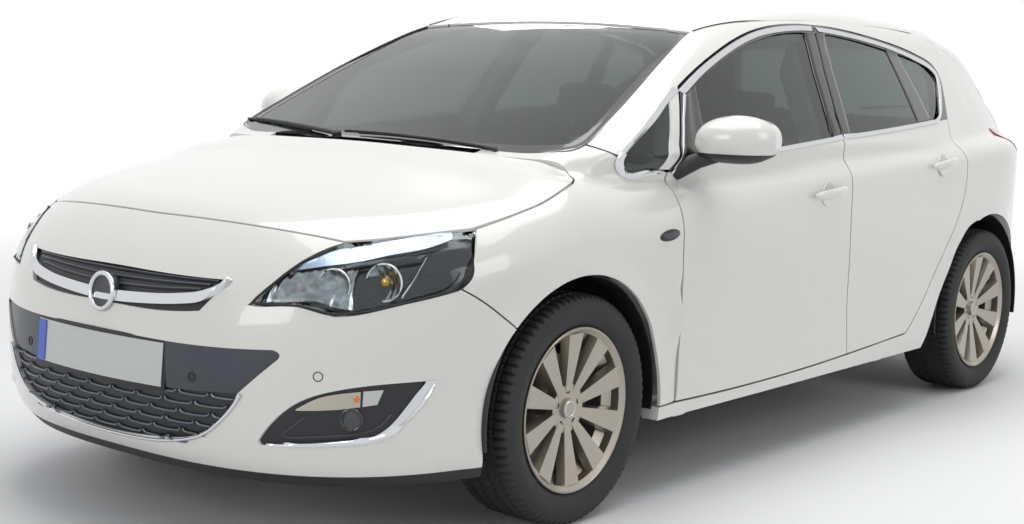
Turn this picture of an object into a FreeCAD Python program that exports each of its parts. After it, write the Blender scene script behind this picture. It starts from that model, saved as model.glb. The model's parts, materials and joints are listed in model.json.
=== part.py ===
import FreeCAD, Part
import bisect
import math
import os
import Sketcher
from FreeCAD import Placement, Rotation, Vector

# A five-door hatchback car, in millimetres.
# The frame stands on the ground between the wheels: the nose points to -Y, +X is the car's left, +Z is up.
# Every driving size stands once in the sheet below, with what it measures.

SIZES = (
    # The whole car
    ("overall_length", 4419, "bumper to bumper"),
    ("overall_width", 1814, "over the doors, without mirrors"),
    ("overall_height", 1500, "ground to the top of the roof"),
    ("wheelbase", 2685, "front axle to rear axle"),
    ("front_overhang", 945, "front axle to the nose"),
    ("track_front", 1541, "between the front tyre centres"),
    ("track_rear", 1551, "between the rear tyre centres"),
    ("overrun", 400, "how far a cutting shape runs past what it cuts"),
    # Body panels
    ("panel_gap", 6, "shut line between two panels"),
    ("seat_gap", 0.3, "air between a piece and what holds it"),
    ("skin_depth", 14, "outer flange of a door"),
    ("skin_overlap", 4, "how far two layers of one panel run into each other"),
    ("door_depth", 100, "door thickness under the belt line"),
    ("door_inset", 14, "from the door edge in to its thick part"),
    ("hinge_set", 60, "from the door's front edge back to its hinge line"),
    ("hinge_depth", 22, "hinge line inside the body surface"),
    ("frame_depth", 46, "door thickness round the window"),
    ("wall_depth", 60, "side frame thickness"),
    ("pillar_cover", 52, "from the body surface in to the hinge and centre pillars"),
    ("pillar_depth", 125, "from the body surface to the inner face of these pillars"),
    ("fender_depth", 10, "front fender thickness"),
    ("hood_depth", 22, "hood thickness"),
    ("roof_depth", 28, "roof panel with its lining"),
    ("bumper_depth", 26, "bumper cover thickness"),
    ("hatch_depth", 44, "tailgate thickness"),
    ("hatch_lip", 6, "tailgate skin at its rim"),
    ("hatch_rim", 42, "width of the thin rim"),
    ("jack_ahead", 750, "front jack pad before the middle"),
    ("jack_behind", 550, "rear jack pad behind the middle"),
    ("jack_spread", 845, "jack pad from the middle plane"),
    ("jack_half_width", 20, "half of a jack pad across"),
    ("jack_half_length", 30, "half of a jack pad along"),
    ("jack_bottom", 228, "jack pad face above the ground"),
    ("jack_top", 252, "top of a jack pad, inside the sill"),
    ("panel_set", 5, "how far the dark panel and fog surrounds lie inside the bumper surface"),
    ("panel_depth", 24, "back of the dark panel, fog surrounds and grilles"),
    ("grille_set", 10, "how far the grilles lie inside the bumper surface"),
    ("lamp_depth", 60, "headlamp and tail lamp depth"),
    ("glass_set", 6, "how far the glass lies inside the body surface"),
    ("glass_thickness", 4.5, "window glass"),
    ("side_blend", 165, "rounding from the hood to the fender"),
    ("roof_blend", 75, "rounding from the roof to the side windows"),
    ("cowl_blend", 26, "rounding at the foot of the glass"),
    ("hood_crown", 85, "how far the hood falls from the middle to the side"),
    ("roof_crown", 30, "how far the roof falls from the middle to the rail"),
    ("screen_bow", 130, "how far the windscreen foot curves back at its corners"),
    ("tail_bow", 120, "how far the rear glass curves forward at its sides"),
    ("tumblehome", 0.50, "lean of the side windows, inward per unit of height"),
    ("tumble_curve", 0.00017, "growth of that lean per millimetre of height"),
    ("arch_flare", 9, "how far the wheel arch lips stand proud"),
    ("arch_lip", 70, "width of the raised wheel arch lip"),
    ("arch_radius_front", 380, "front wheel arch"),
    ("arch_radius_rear", 392, "rear wheel arch"),
    ("arch_shift", 8, "how far the arches sit ahead of the axles"),
    ("arch_inner_reach", 450, "from the middle of the car to the inner end of the liners"),
    ("arch_inner_reach_rear", 600, "the same at the rear wheels"),
    ("liner_thickness", 5, "wheel liner"),
    ("liner_gap", 0.3, "from the liner's outer face to the arch edge"),
    # Wheels
    ("tyre_radius", 323.4, "outer radius of the tyre"),
    ("tyre_width", 215, "widest place of the tyre"),
    ("tread_width", 178, "flat part of the tread"),
    ("bead_radius", 219, "where the tyre sits on the rim"),
    ("bead_length", 22, "tyre bead along the rim"),
    ("tyre_facets", 80, "facets round a tyre"),
    ("bead_width", 190, "rim width between the beads"),
    ("rim_flange_radius", 231, "outer edge of the rim"),
    ("rim_flange_width", 11, "thickness of the rim flange"),
    ("rim_well_radius", 190, "lowest part of the rim barrel"),
    ("rim_wall", 6, "rim barrel thickness"),
    ("spoke_count", 10, "spokes"),
    ("spoke_root_width", 30, "spoke width at the hub"),
    ("spoke_tip_width", 78, "spoke width at the rim"),
    ("spoke_thickness", 26, "spoke thickness along the axle"),
    ("spoke_inset", 8, "from the rim edge to the spoke faces"),
    ("spoke_dish", 24, "how far the hub face lies inside the spoke tips"),
    ("hub_face_radius", 68, "middle of the wheel"),
    ("cap_radius", 29, "hub cap"),
    ("bolt_circle_radius", 52.5, "wheel bolts"),
    ("bolt_hole_radius", 11, "bolt recess"),
    ("bolt_count", 5, "wheel bolts"),
    ("disc_radius", 150, "brake disc"),
    ("disc_thickness", 24, "brake disc"),
    ("disc_offset", 28, "from the tyre centre plane in to the disc"),
    ("hub_radius", 34, "hub barrel"),
    # Suspension
    ("bearing_length", 44, "length of the hub carrier"),
    ("carrier_radius", 46, "hub carrier"),
    ("carrier_gap", 0.5, "from the disc to the hub carrier"),
    ("strut_radius", 26, "suspension strut"),
    ("strut_top_height", 830, "top of the strut above the ground"),
    ("strut_lean", 96, "how far the strut top lies inboard of the lower ball joint"),
    ("ball_height", 190, "lower ball joint above the ground"),
    ("ball_reach", 690, "lower ball joint from the middle of the car"),
    ("ball_radius", 17, "lower ball joint"),
    ("ball_seat", 2.9, "from the ball joint centre down to its seat on the lower arm"),
    ("tower_seat", 4.2, "from the strut top centre up to its tower"),
    ("arm_thickness", 22, "lower arm"),
    ("arm_width", 50, "lower arm"),
    ("subframe_length", 330, "front subframe along the car"),
    ("subframe_width", 620, "front subframe across the car"),
    ("subframe_height", 70, "front subframe"),
    ("beam_width", 90, "rear axle beam"),
    ("beam_height", 78, "rear axle beam"),
    ("beam_wall", 12, "rear axle beam"),
    ("beam_lead", 190, "rear axle beam ahead of the wheels"),
    ("trailing_arm_length", 430, "from the rear wheel centre to the arm's bush"),
    ("trailing_arm_width", 56, "rear trailing arm"),
    ("bush_radius", 38, "front bush of a trailing arm"),
    ("trailing_arm_reach", 565, "trailing arm from the middle of the car"),
    ("spring_radius", 52, "rear spring"),
    ("spring_wire", 12, "rear spring wire diameter"),
    ("spring_turns", 5, "rear spring"),
    ("damper_radius", 25, "rear damper"),
    # Wheel details
    ("sidewall_radius", 275, "where the tyre is widest"),
    ("tyre_liner_radius", 311, "inside of the tread"),
    ("cap_height", 5, "hub cap over the hub face"),
    # Floor, engine and cabin
    ("floor_thickness", 24, "floor pan with its covering"),
    ("floor_half_width", 850, "floor pan to the sills"),
    ("door_reach", 765, "inner side of the doors from the middle of the car"),
    ("tower_depth", 22, "strut tower plates and front crossmember"),
    ("rail_inner_reach", 375, "engine bay rails from the middle of the car"),
    ("rail_outer_reach", 440, "engine bay rails from the middle of the car"),
    ("scuttle_seat", 0.6, "from the windscreen to the scuttle wall"),
    ("scuttle_depth", 85, "scuttle wall from the body surface down"),
    ("room_growth", 20, "how much wider the front wheel rooms are inside than at the arch edge"),
    ("pipe_radius", 26, "exhaust pipe"),
    ("pipe_reach", 260, "exhaust pipe from the middle of the car"),
    ("pipe_height", 205, "exhaust pipe above the ground"),
    ("silencer_radius", 72, "rear silencer"),
    ("damper_reach", 632, "rear dampers from the middle of the car"),
    ("engine_width", 620, "engine and gearbox across the car"),
    ("engine_length", 430, "engine along the car"),
    ("engine_height", 480, "engine"),
    ("front_seat_width", 500, "front seat"),
    ("front_seat_reach", 360, "front seat middle from the middle of the car"),
    ("rear_bench_width", 1190, "rear bench"),
    ("seat_rounding", 24, "seat edges"),
    ("dash_half_width", 630, "dashboard from the middle of the car"),
    ("steering_radius", 182, "steering wheel"),
    ("steering_grip", 15, "steering wheel rim section"),
    ("steering_boss", 60, "steering wheel middle"),
    ("column_radius", 22, "steering column"),
    ("mirror_half_width", 112, "door mirror housing"),
    ("mirror_half_depth", 92, "door mirror housing"),
    ("mirror_half_height", 74, "door mirror housing"),
)

doc = FreeCAD.newDocument("hatchback_car")
sheet = doc.addObject("Spreadsheet::Sheet", "sizes")
for row, (alias, value, meaning) in enumerate(SIZES, 1):
    sheet.set("A%d" % row, alias)
    sheet.set("B%d" % row, str(value))
    sheet.set("C%d" % row, meaning)
    sheet.setAlias("B%d" % row, alias)
doc.recompute()


class Measure(float):
    """A size that also remembers the formula that gives it, for binding to a feature."""

    def __new__(cls, value, text):
        made = float.__new__(cls, value)
        made.text = text
        return made

    def joined(self, other, sign, value):
        return Measure(value, "(%s %s %s)" % (self.text, sign, getattr(other, "text", repr(other))))

    def __add__(self, other):
        return self.joined(other, "+", float(self) + float(other))

    def __sub__(self, other):
        return self.joined(other, "-", float(self) - float(other))

    def __mul__(self, other):
        return self.joined(other, "*", float(self) * float(other))

    def __rmul__(self, other):
        return self.joined(other, "*", float(self) * float(other))

    def __truediv__(self, other):
        return self.joined(other, "/", float(self) / float(other))

    def __neg__(self):
        return Measure(-float(self), "(0 - %s)" % self.text)


def size(alias):
    return Measure(float(getattr(sheet, alias)), "sizes." + alias)


overall_length = size("overall_length")
overall_height = size("overall_height")
half_width = size("overall_width") / 2
zero = overall_length - overall_length
wheelbase = size("wheelbase")
front_overhang = size("front_overhang")
rear_overhang = overall_length - wheelbase - front_overhang
overrun = size("overrun")
panel_gap = size("panel_gap")
seat_gap = size("seat_gap")
tyre_radius = size("tyre_radius")
front_axle = front_overhang - overall_length / 2
rear_axle = front_axle + wheelbase


# Places on the car. A station is -1 at the nose, 0 at the front axle, 1 at the rear axle and 2 at the tail.
front_axle_y = float(front_axle)
rear_axle_y = float(rear_axle)
front_length = float(front_overhang)
middle_length = float(wheelbase)
rear_length = float(rear_overhang)
full_half_width = float(half_width)
full_height = float(overall_height)


def station(share):
    if share < 0:
        return front_axle_y + share * front_length
    if share < 1:
        return front_axle_y + share * middle_length
    return rear_axle_y + (share - 1) * rear_length


def station_share(along):
    if along < front_axle_y:
        return (along - front_axle_y) / front_length
    if along < rear_axle_y:
        return (along - front_axle_y) / middle_length
    return 1 + (along - rear_axle_y) / rear_length


def level(share):
    return share * full_height


def across(share):
    return share * full_half_width


CURVE_STEPS = 1500


class Curve:
    """A smooth line through hand-chosen pairs of shares, straight beyond its ends."""

    def __init__(self, shares):
        places = [place for place, value in shares]
        values = [value for place, value in shares]
        steps = [(values[i + 1] - values[i]) / (places[i + 1] - places[i]) for i in range(len(shares) - 1)]
        slopes = [steps[0]]
        for i in range(1, len(shares) - 1):
            before = places[i] - places[i - 1]
            after = places[i + 1] - places[i]
            slopes.append((steps[i - 1] * after + steps[i] * before) / (before + after))
        slopes.append(steps[-1])
        self.first = places[0]
        self.step = (places[-1] - places[0]) / CURVE_STEPS
        self.samples = []
        for n in range(CURVE_STEPS + 1):
            place = min(self.first + n * self.step, places[-1])
            i = min(bisect.bisect_right(places, place), len(places) - 1) - 1
            span = places[i + 1] - places[i]
            u = (place - places[i]) / span
            w = 1 - u
            self.samples.append(values[i] * (1 + 2 * u) * w * w + slopes[i] * span * u * w * w
                                + values[i + 1] * u * u * (3 - 2 * u) - slopes[i + 1] * span * u * u * w)

    def __call__(self, place):
        n = (place - self.first) / self.step
        i = max(0, min(CURVE_STEPS - 1, int(n)))
        low = self.samples[i]
        return low + (self.samples[i + 1] - low) * (n - i)

    def slope(self, place):
        i = max(0, min(CURVE_STEPS - 1, int((place - self.first) / self.step)))
        return (self.samples[i + 1] - self.samples[i]) / self.step


# Body lines, all as shares: the first value is a station, the second a share of the height or half width.
HOOD_LINE_SHARES = ((-0.99, 0.530), (-0.88, 0.553), (-0.78, 0.574), (-0.67, 0.590), (-0.57, 0.604),
                    (-0.355, 0.629), (-0.143, 0.652), (0.024, 0.678), (0.10, 0.674), (0.285, 0.678),
                    (0.47, 0.690), (0.66, 0.702), (0.84, 0.713), (1.10, 0.722), (1.73, 0.700))
ROOF_LINE_SHARES = ((0.005, 0.672), (0.136, 0.779), (0.247, 0.867), (0.337, 0.927), (0.37, 0.942),
                    (0.434, 0.965), (0.508, 0.984), (0.583, 0.995), (0.657, 1.0), (0.732, 1.0),
                    (0.806, 0.995), (0.918, 0.982), (1.10, 0.958), (1.34, 0.934), (1.52, 0.905),
                    (1.60, 0.860), (1.69, 0.790), (1.80, 0.700), (1.89, 0.620))
CABIN_WIDTH_SHARES = ((0.024, 0.790), (0.10, 0.880), (0.173, 0.920), (0.285, 0.940), (0.47, 0.954),
                      (0.657, 0.958), (0.843, 0.943), (0.992, 0.915), (1.25, 0.88), (1.48, 0.83),
                      (1.73, 0.76), (1.99, 0.66))
BODY_WIDTH_SHARES = ((-0.99, 0.976), (0.0, 0.981), (0.173, 0.989), (0.47, 0.998), (0.77, 1.0),
                     (1.0, 0.998), (1.99, 0.992))
SHOULDER_SHARES = ((-0.25, 0.507), (0.154, 0.527), (0.545, 0.587), (0.77, 0.620), (1.23, 0.653),
                   (1.73, 0.667))
# How far the side stands inside the widest line, against the height between sill (0) and shoulder (1).
SIDE_INSET_SHARES = ((-0.3, 0.19), (-0.12, 0.085), (0.0, 0.036), (0.10, 0.014), (0.22, 0.016),
                     (0.40, 0.020), (0.62, 0.012), (0.85, 0.003), (1.0, 0.0), (1.12, 0.010),
                     (1.3, 0.036), (1.6, 0.10), (2.2, 0.27))
# The nose and tail in side view: height against station.
NOSE_SHARES = ((0.05, -0.80), (0.10, -0.850), (0.133, -0.905), (0.167, -0.953), (0.213, -0.985),
               (0.28, -1.0), (0.333, -1.0), (0.373, -0.995), (0.413, -0.983), (0.453, -0.963),
               (0.493, -0.930), (0.533, -0.892), (0.573, -0.855), (0.633, -0.79), (0.80, -0.60))
TAIL_SHARES = ((0.05, 1.80), (0.10, 1.861), (0.167, 1.937), (0.233, 1.982), (0.30, 2.0), (0.387, 2.0),
               (0.44, 1.985), (0.50, 1.960), (0.567, 1.945), (0.633, 1.925), (0.70, 1.89), (0.80, 1.80))
hood_line = Curve(HOOD_LINE_SHARES)
roof_line = Curve(ROOF_LINE_SHARES)
cabin_width = Curve(CABIN_WIDTH_SHARES)
body_width = Curve(BODY_WIDTH_SHARES)
shoulder_line = Curve(SHOULDER_SHARES)
side_inset = Curve(SIDE_INSET_SHARES)
nose_line = Curve(NOSE_SHARES)
tail_line = Curve(TAIL_SHARES)

SILL_SHARE = 0.127
BELT_SHARE = 0.667
CABIN_BASE_SHARE = 0.57
NOSE_POWER = 2.8
TAIL_POWER = 2.6
sill_height = float(level(SILL_SHARE))
belt_height = float(level(BELT_SHARE))
cabin_base = float(level(CABIN_BASE_SHARE))
hood_crown = float(size("hood_crown"))
roof_crown = float(size("roof_crown"))
side_blend = float(size("side_blend"))
roof_blend = float(size("roof_blend"))
cowl_blend = float(size("cowl_blend"))
screen_bow = float(size("screen_bow"))
tail_bow = float(size("tail_bow"))
tumblehome = float(size("tumblehome"))
tumble_curve = float(size("tumble_curve"))
arch_flare = float(size("arch_flare"))
arch_lip = float(size("arch_lip"))
arch_shift = float(size("arch_shift"))
arch_radius_front = float(size("arch_radius_front"))
arch_radius_rear = float(size("arch_radius_rear"))
axle_height = float(tyre_radius)
SIDE_BLEND_REAR_SHARE = 0.45
SCREEN_END_SHARE = 0.37
TAIL_START_SHARE = 1.0
TAIL_EASE_SHARE = 0.6
HATCH_FRONT_SHARE = 0.972
RAIL_SHARE = 0.8
CROWN_POWER = 2.2


def smooth_max(one, other, blend):
    near = blend - abs(one - other)
    if near <= 0:
        return max(one, other)
    return max(one, other) + near * near / (4 * blend)


def flare(along, up):
    """The raised lip round each wheel arch."""
    if along < 0:
        apart = math.hypot(along - front_axle_y + arch_shift, up - axle_height) - arch_radius_front
    else:
        apart = math.hypot(along - rear_axle_y + arch_shift, up - axle_height) - arch_radius_rear
    if apart > arch_lip:
        return 0.0
    ease = min(1.0, 1 - apart / arch_lip)
    return arch_flare * ease * ease * (3 - 2 * ease)


sections = {}


def section(along):
    """What a cross-section of the car takes from its place along the car."""
    if along in sections:
        return sections[along]
    share = station_share(along)
    if share < 0:
        blend = side_blend
    elif share < 0.5:
        blend = side_blend * (1 - share * 2 * (1 - SIDE_BLEND_REAR_SHARE))
    else:
        blend = side_blend * SIDE_BLEND_REAR_SHARE
    found = (share, shoulder_line(share) * full_height, body_width(share), hood_line(share) * full_height,
             cabin_width(share) * full_half_width, blend)
    sections[along] = found
    return found


def lower_body(side, along, up):
    share, shoulder, width, top, cabin_reach, blend = section(along)
    rise = (up - sill_height) / (shoulder - sill_height)
    reach = (width - side_inset(rise)) * full_half_width + flare(along, up)
    if along < front_axle_y:
        length = -nose_line(up / full_height) * front_length
        ahead = (front_axle_y - along) / length
        side_gap = reach * (((side / reach) ** NOSE_POWER + ahead ** NOSE_POWER) ** (1 / NOSE_POWER) - 1)
    elif along > rear_axle_y:
        length = (tail_line(up / full_height) - 1) * rear_length
        behind = (along - rear_axle_y) / length
        side_gap = reach * (((side / reach) ** TAIL_POWER + behind ** TAIL_POWER) ** (1 / TAIL_POWER) - 1)
    else:
        side_gap = side - reach
    top -= hood_crown * (side / full_half_width) ** CROWN_POWER
    return smooth_max(side_gap, up - top, blend)


def cabin(side, along, up):
    share, shoulder, width, top, cabin_reach, blend = section(along)
    rise = up - belt_height
    reach = cabin_reach - tumblehome * abs(rise) - tumble_curve * rise * rise
    wide = (side / full_half_width / RAIL_SHARE) ** 2
    if share < SCREEN_END_SHARE:
        place = share - screen_bow / middle_length * wide * (SCREEN_END_SHARE - share) / SCREEN_END_SHARE
    elif share > TAIL_START_SHARE:
        place = share + tail_bow / rear_length * wide * min(1.0, (share - TAIL_START_SHARE) / TAIL_EASE_SHARE)
    else:
        place = share
    if place < 0:
        run = front_length
    elif place < 1:
        run = middle_length
    else:
        run = rear_length
    line = roof_line(place) * full_height
    slope = roof_line.slope(place) * full_height / run
    height_share = (line - belt_height) / (full_height - belt_height)
    crown = roof_crown * wide * max(0.0, min(1.0, height_share))
    top_gap = (up - line + crown) / math.sqrt(1 + slope * slope)
    base = cabin_base * max(0.0, min(1.0, (share - TAIL_START_SHARE) / TAIL_EASE_SHARE))
    return max(smooth_max(side - reach, top_gap, roof_blend), base - up)


def body(side, along, up):
    """Signed distance, near enough, from the painted outer surface: negative inside."""
    side = abs(side)
    return -smooth_max(-lower_body(side, along, up), -cabin(side, along, up), cowl_blend)


STRIDE_LEAST = 14.0
STRIDE_MOST = 160.0
NEAR = 0.004
TRIES = 30


def depth_points(origin, heading, depths):
    """Where a ray from inside the body meets the surface and each given depth under it."""
    ox, oy, oz = origin
    hx, hy, hz = heading

    def gap_at(far):
        return body(ox + hx * far, oy + hy * far, oz + hz * far)

    low = 0.0
    low_gap = gap_at(low)
    high = low
    high_gap = low_gap
    while high_gap < 0:
        low, low_gap = high, high_gap
        high = low + max(STRIDE_LEAST, min(STRIDE_MOST, -low_gap))
        high_gap = gap_at(high)
    points = []
    for depth in depths:
        # The bracket is moved inward until the depth lies in it, then narrowed by false position.
        near, near_gap = low, low_gap + depth
        far, far_gap = high, high_gap + depth
        while near_gap > 0:
            far, far_gap = near, near_gap
            near -= max(STRIDE_LEAST, near_gap)
            near_gap = gap_at(near) + depth
        low, low_gap = near, near_gap - depth
        high, high_gap = far, far_gap - depth
        for _ in range(TRIES):
            found = (near * far_gap - far * near_gap) / (far_gap - near_gap)
            found_gap = gap_at(found) + depth
            if abs(found_gap) < NEAR:
                break
            if found_gap < 0:
                near, near_gap = found, found_gap
                far_gap /= 2
            else:
                far, far_gap = found, found_gap
                near_gap /= 2
        points.append(Vector(ox + hx * found, oy + hy * found, oz + hz * found))
    return points


# Charts: each turns two numbers into a ray that meets the body surface once.
core_reach = across(0.44)
core_height = level(0.533)
nose_core_height = level(0.30)
nose_core_y = station(-0.03)
tail_core_y = station(1.02)
hatch_core_y = station(0.96)
hatch_core_height = level(0.50)


def side_ray(along, angle):
    return (core_reach, station(along), core_height), (math.cos(angle), 0.0, math.sin(angle))


def fender_ray(along, angle):
    return ((core_reach, station(along), core_height - level(0.1)),
            (math.cos(angle), 0.0, math.sin(angle)))


def top_ray(sideways, along):
    """Straight up, at a share of the half width that the nose still has there."""
    share = along
    narrowing = 1.0
    if share < 0:
        narrowing = (1 - (share / -0.87) ** NOSE_POWER) ** (1 / NOSE_POWER)
    return (across(sideways * narrowing), station(share), level(0.4)), (0.0, 0.0, 1.0)


def nose_ray(bearing, rise):
    return ((0.0, nose_core_y, nose_core_height),
            (math.sin(bearing) * math.cos(rise), -math.cos(bearing) * math.cos(rise), math.sin(rise)))


def tail_ray(bearing, rise):
    return ((0.0, tail_core_y, nose_core_height),
            (math.sin(bearing) * math.cos(rise), math.cos(bearing) * math.cos(rise), math.sin(rise)))


def hatch_ray(sideways, rise):
    return ((across(sideways), hatch_core_y, hatch_core_height),
            (0.0, math.cos(rise), math.sin(rise)))


def spread(first, last, count):
    return [first + (last - first) * i / (count - 1) for i in range(count)]


class Layers:
    """The body surface and depths under it over one chart, from which closed slabs are made."""

    def __init__(self, ray, rows, columns, depths):
        self.depths = sorted(set(float(depth) for depth in depths))
        stacks = [[depth_points(*ray(row, column), self.depths) for column in columns] for row in rows]
        self.surfaces = []
        for n in range(len(self.depths)):
            surface = Part.BSplineSurface()
            surface.interpolate([[stack[n] for stack in line] for line in stacks])
            self.surfaces.append(surface)

    def surface(self, depth):
        return self.surfaces[self.depths.index(float(depth))]

    def slab(self, outer, inner):
        """A closed solid between two of the depths."""
        pair_of = (self.surface(outer), self.surface(inner))
        faces = [surface.toShape() for surface in pair_of]
        for side in range(4):
            rails = []
            for surface in pair_of:
                u0, u1, v0, v1 = surface.bounds()
                if side < 2:
                    rails.append(surface.uIso((u0, u1)[side]).toShape())
                else:
                    rails.append(surface.vIso((v0, v1)[side - 2]).toShape())
            faces.append(Part.makeRuledSurface(rails[0], rails[1]))
        shell = Part.makeShell(faces)
        shell.sewShape()
        solid = Part.makeSolid(shell)
        if solid.Volume < 0:
            solid.reverse()
        return solid


def mirrored(shape):
    return shape.mirror(Vector(0, 0, 0), Vector(1, 0, 0))


# Outlines. Each is a list of runs of points in a plane; a run of two points is straight, a longer one curves.
class Outline:
    """A closed line of runs, which can be moved in or out by a gap and made into a cutting prism."""

    def __init__(self, runs):
        self.runs = runs

    def grown(self, gap):
        """The outline moved outward by a gap (inward if negative); runs go anticlockwise."""
        moved = []
        count = len(self.runs)
        for i, run in enumerate(self.runs):
            before = self.runs[i - 1]
            after = self.runs[(i + 1) % count]
            fresh = []
            for j, (a, b) in enumerate(run):
                if j == 0:
                    arriving = unit(before[-2], before[-1])
                    leaving = unit(run[0], run[1])
                elif j == len(run) - 1:
                    arriving = unit(run[-2], run[-1])
                    leaving = unit(after[0], after[1])
                else:
                    arriving = unit(run[j - 1], run[j])
                    leaving = unit(run[j], run[j + 1])
                across_a, across_b = arriving[1] + leaving[1], -arriving[0] - leaving[0]
                scale = gap / max(0.35, 1 + arriving[0] * leaving[0] + arriving[1] * leaving[1])
                fresh.append((a + across_a * scale, b + across_b * scale))
            moved.append(fresh)
        return Outline(moved)

    def prism(self, place, reach):
        """The outline drawn where place() puts its points and swept along a vector."""
        edges = []
        for run in self.runs:
            points = [place(a, b) for a, b in run]
            if len(points) == 2:
                edges.append(Part.LineSegment(points[0], points[1]).toShape())
            else:
                curve = Part.BSplineCurve()
                curve.interpolate(points)
                edges.append(curve.toShape())
        face = Part.Face(Part.Wire(edges))
        return face.extrude(reach)


def unit(start, end):
    length = math.hypot(end[0] - start[0], end[1] - start[1])
    return (end[0] - start[0]) / length, (end[1] - start[1]) / length


def outline(runs, first, second):
    """An outline from runs of shares; each run starts where the last one ended."""
    result = []
    last = runs[-1][-1]
    for run in runs:
        if tuple(run) != (last,):
            result.append([(float(first(a)), float(second(b))) for a, b in (last,) + tuple(run)])
        last = run[-1]
    return Outline(result)


def side_outline(runs):
    """Seen from the car's left: station forward-to-back, then height."""
    return outline(runs, station, level)


def plan_outline(runs):
    return outline(runs, across, station)


def front_outline(runs):
    return outline(runs, across, level)


reach_out = float(half_width + overrun)


def side_prism(line, start=0.0):
    """A side-view outline swept outward from a distance off the middle."""
    return line.prism(lambda along, up: Vector(start, along, up), Vector(reach_out - start, 0, 0))


def plan_prism(line, bottom=0.0, top=None):
    top = full_height + float(overrun) if top is None else top
    return line.prism(lambda side, along: Vector(side, along, bottom), Vector(0, 0, top - bottom))


def front_prism(line):
    start = float(front_axle - front_overhang - overrun)
    return line.prism(lambda side, up: Vector(side, start, up), Vector(0, front_axle_y - start, 0))


def rear_prism(line):
    start = float(rear_axle + rear_overhang + overrun)
    return line.prism(lambda side, up: Vector(side, start, up), Vector(0, station(HATCH_FRONT_SHARE) - start, 0))


def block(x0, x1, y0, y1, z0, z1):
    low = Vector(float(min(x0, x1)), float(min(y0, y1)), float(min(z0, z1)))
    return Part.makeBox(abs(float(x1 - x0)), abs(float(y1 - y0)), abs(float(z1 - z0)), low)


def rod(start, end, radius):
    along = end - start
    return Part.makeCylinder(float(radius), along.Length, start, along)


def biggest(shape):
    """Drops slivers that a cut may leave, keeping the panel itself."""
    solids = sorted(shape.Solids, key=lambda solid: solid.Volume)
    return solids[-1]


nodes = []


def node(label, shape):
    """One named sub-part of the car."""
    feature = doc.addObject("Part::Feature", label)
    feature.Label = label
    feature.Shape = shape
    nodes.append(feature)
    return feature


def pair(left, right=None):
    """Two like pieces of one body, left and right, that do not touch."""
    return Part.makeCompound([left, right if right is not None else mirrored(left)])


# Side-view outlines, in stations and shares of the height, anticlockwise seen from the left: tailward, then up.
FRONT_DOOR_SHARES = (
    ((0.40, 0.185), (0.565, 0.194)),
    ((0.563, 0.30), (0.557, 0.439), (0.549, 0.590), (0.553, 0.650)),
    ((0.558, 0.723), (0.574, 0.824), (0.611, 0.950)),
    ((0.56, 0.950), (0.50, 0.942), (0.44, 0.925), (0.37, 0.893), (0.30, 0.851), (0.238, 0.806)),
    ((0.215, 0.745), (0.177, 0.640)),
    ((0.171, 0.59), (0.169, 0.54), (0.176, 0.39), (0.177, 0.25), (0.172, 0.187)),
)
REAR_DOOR_SHARES = (
    ((0.65, 0.201), (0.733, 0.208)),
    ((0.79, 0.285), (0.842, 0.385), (0.880, 0.470), (0.897, 0.54), (0.897, 0.62), (0.889, 0.672)),
    ((0.90, 0.705), (0.925, 0.762), (0.950, 0.820)),
    ((0.952, 0.850), (0.936, 0.875)),
    ((0.88, 0.900), (0.80, 0.923), (0.73, 0.938), (0.66, 0.948), (0.611, 0.950)),
    ((0.574, 0.824), (0.558, 0.723), (0.553, 0.650)),
    ((0.549, 0.590), (0.557, 0.439), (0.563, 0.30), (0.565, 0.194)),
)
FRONT_WINDOW_SHARES = (
    ((0.535, 0.690),),
    ((0.541, 0.74), (0.558, 0.84), (0.583, 0.932)),
    ((0.53, 0.929), (0.46, 0.912), (0.40, 0.888), (0.343, 0.859), (0.258, 0.803)),
    ((0.235, 0.735), (0.212, 0.668)),
    ((0.30, 0.672), (0.42, 0.680), (0.535, 0.690)),
)
REAR_WINDOW_SHARES = (
    ((0.878, 0.723),),
    ((0.905, 0.770), (0.933, 0.825)),
    ((0.930, 0.850), (0.912, 0.866)),
    ((0.86, 0.884), (0.80, 0.900), (0.73, 0.917), (0.66, 0.929), (0.630, 0.932)),
    ((0.605, 0.84), (0.588, 0.74), (0.582, 0.695)),
    ((0.68, 0.703), (0.78, 0.713), (0.878, 0.723)),
)
QUARTER_WINDOW_SHARES = (
    ((0.160, 0.646),),
    ((0.190, 0.72), (0.214, 0.788)),
    ((0.17, 0.742), (0.125, 0.700), (0.100, 0.672)),
    ((0.102, 0.652), (0.115, 0.640)),
    ((0.14, 0.643), (0.160, 0.646)),
)

front_door_line = side_outline(FRONT_DOOR_SHARES)
rear_door_line = side_outline(REAR_DOOR_SHARES)
front_window_line = side_outline(FRONT_WINDOW_SHARES)
rear_window_line = side_outline(REAR_WINDOW_SHARES)
quarter_window_line = side_outline(QUARTER_WINDOW_SHARES)

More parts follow.
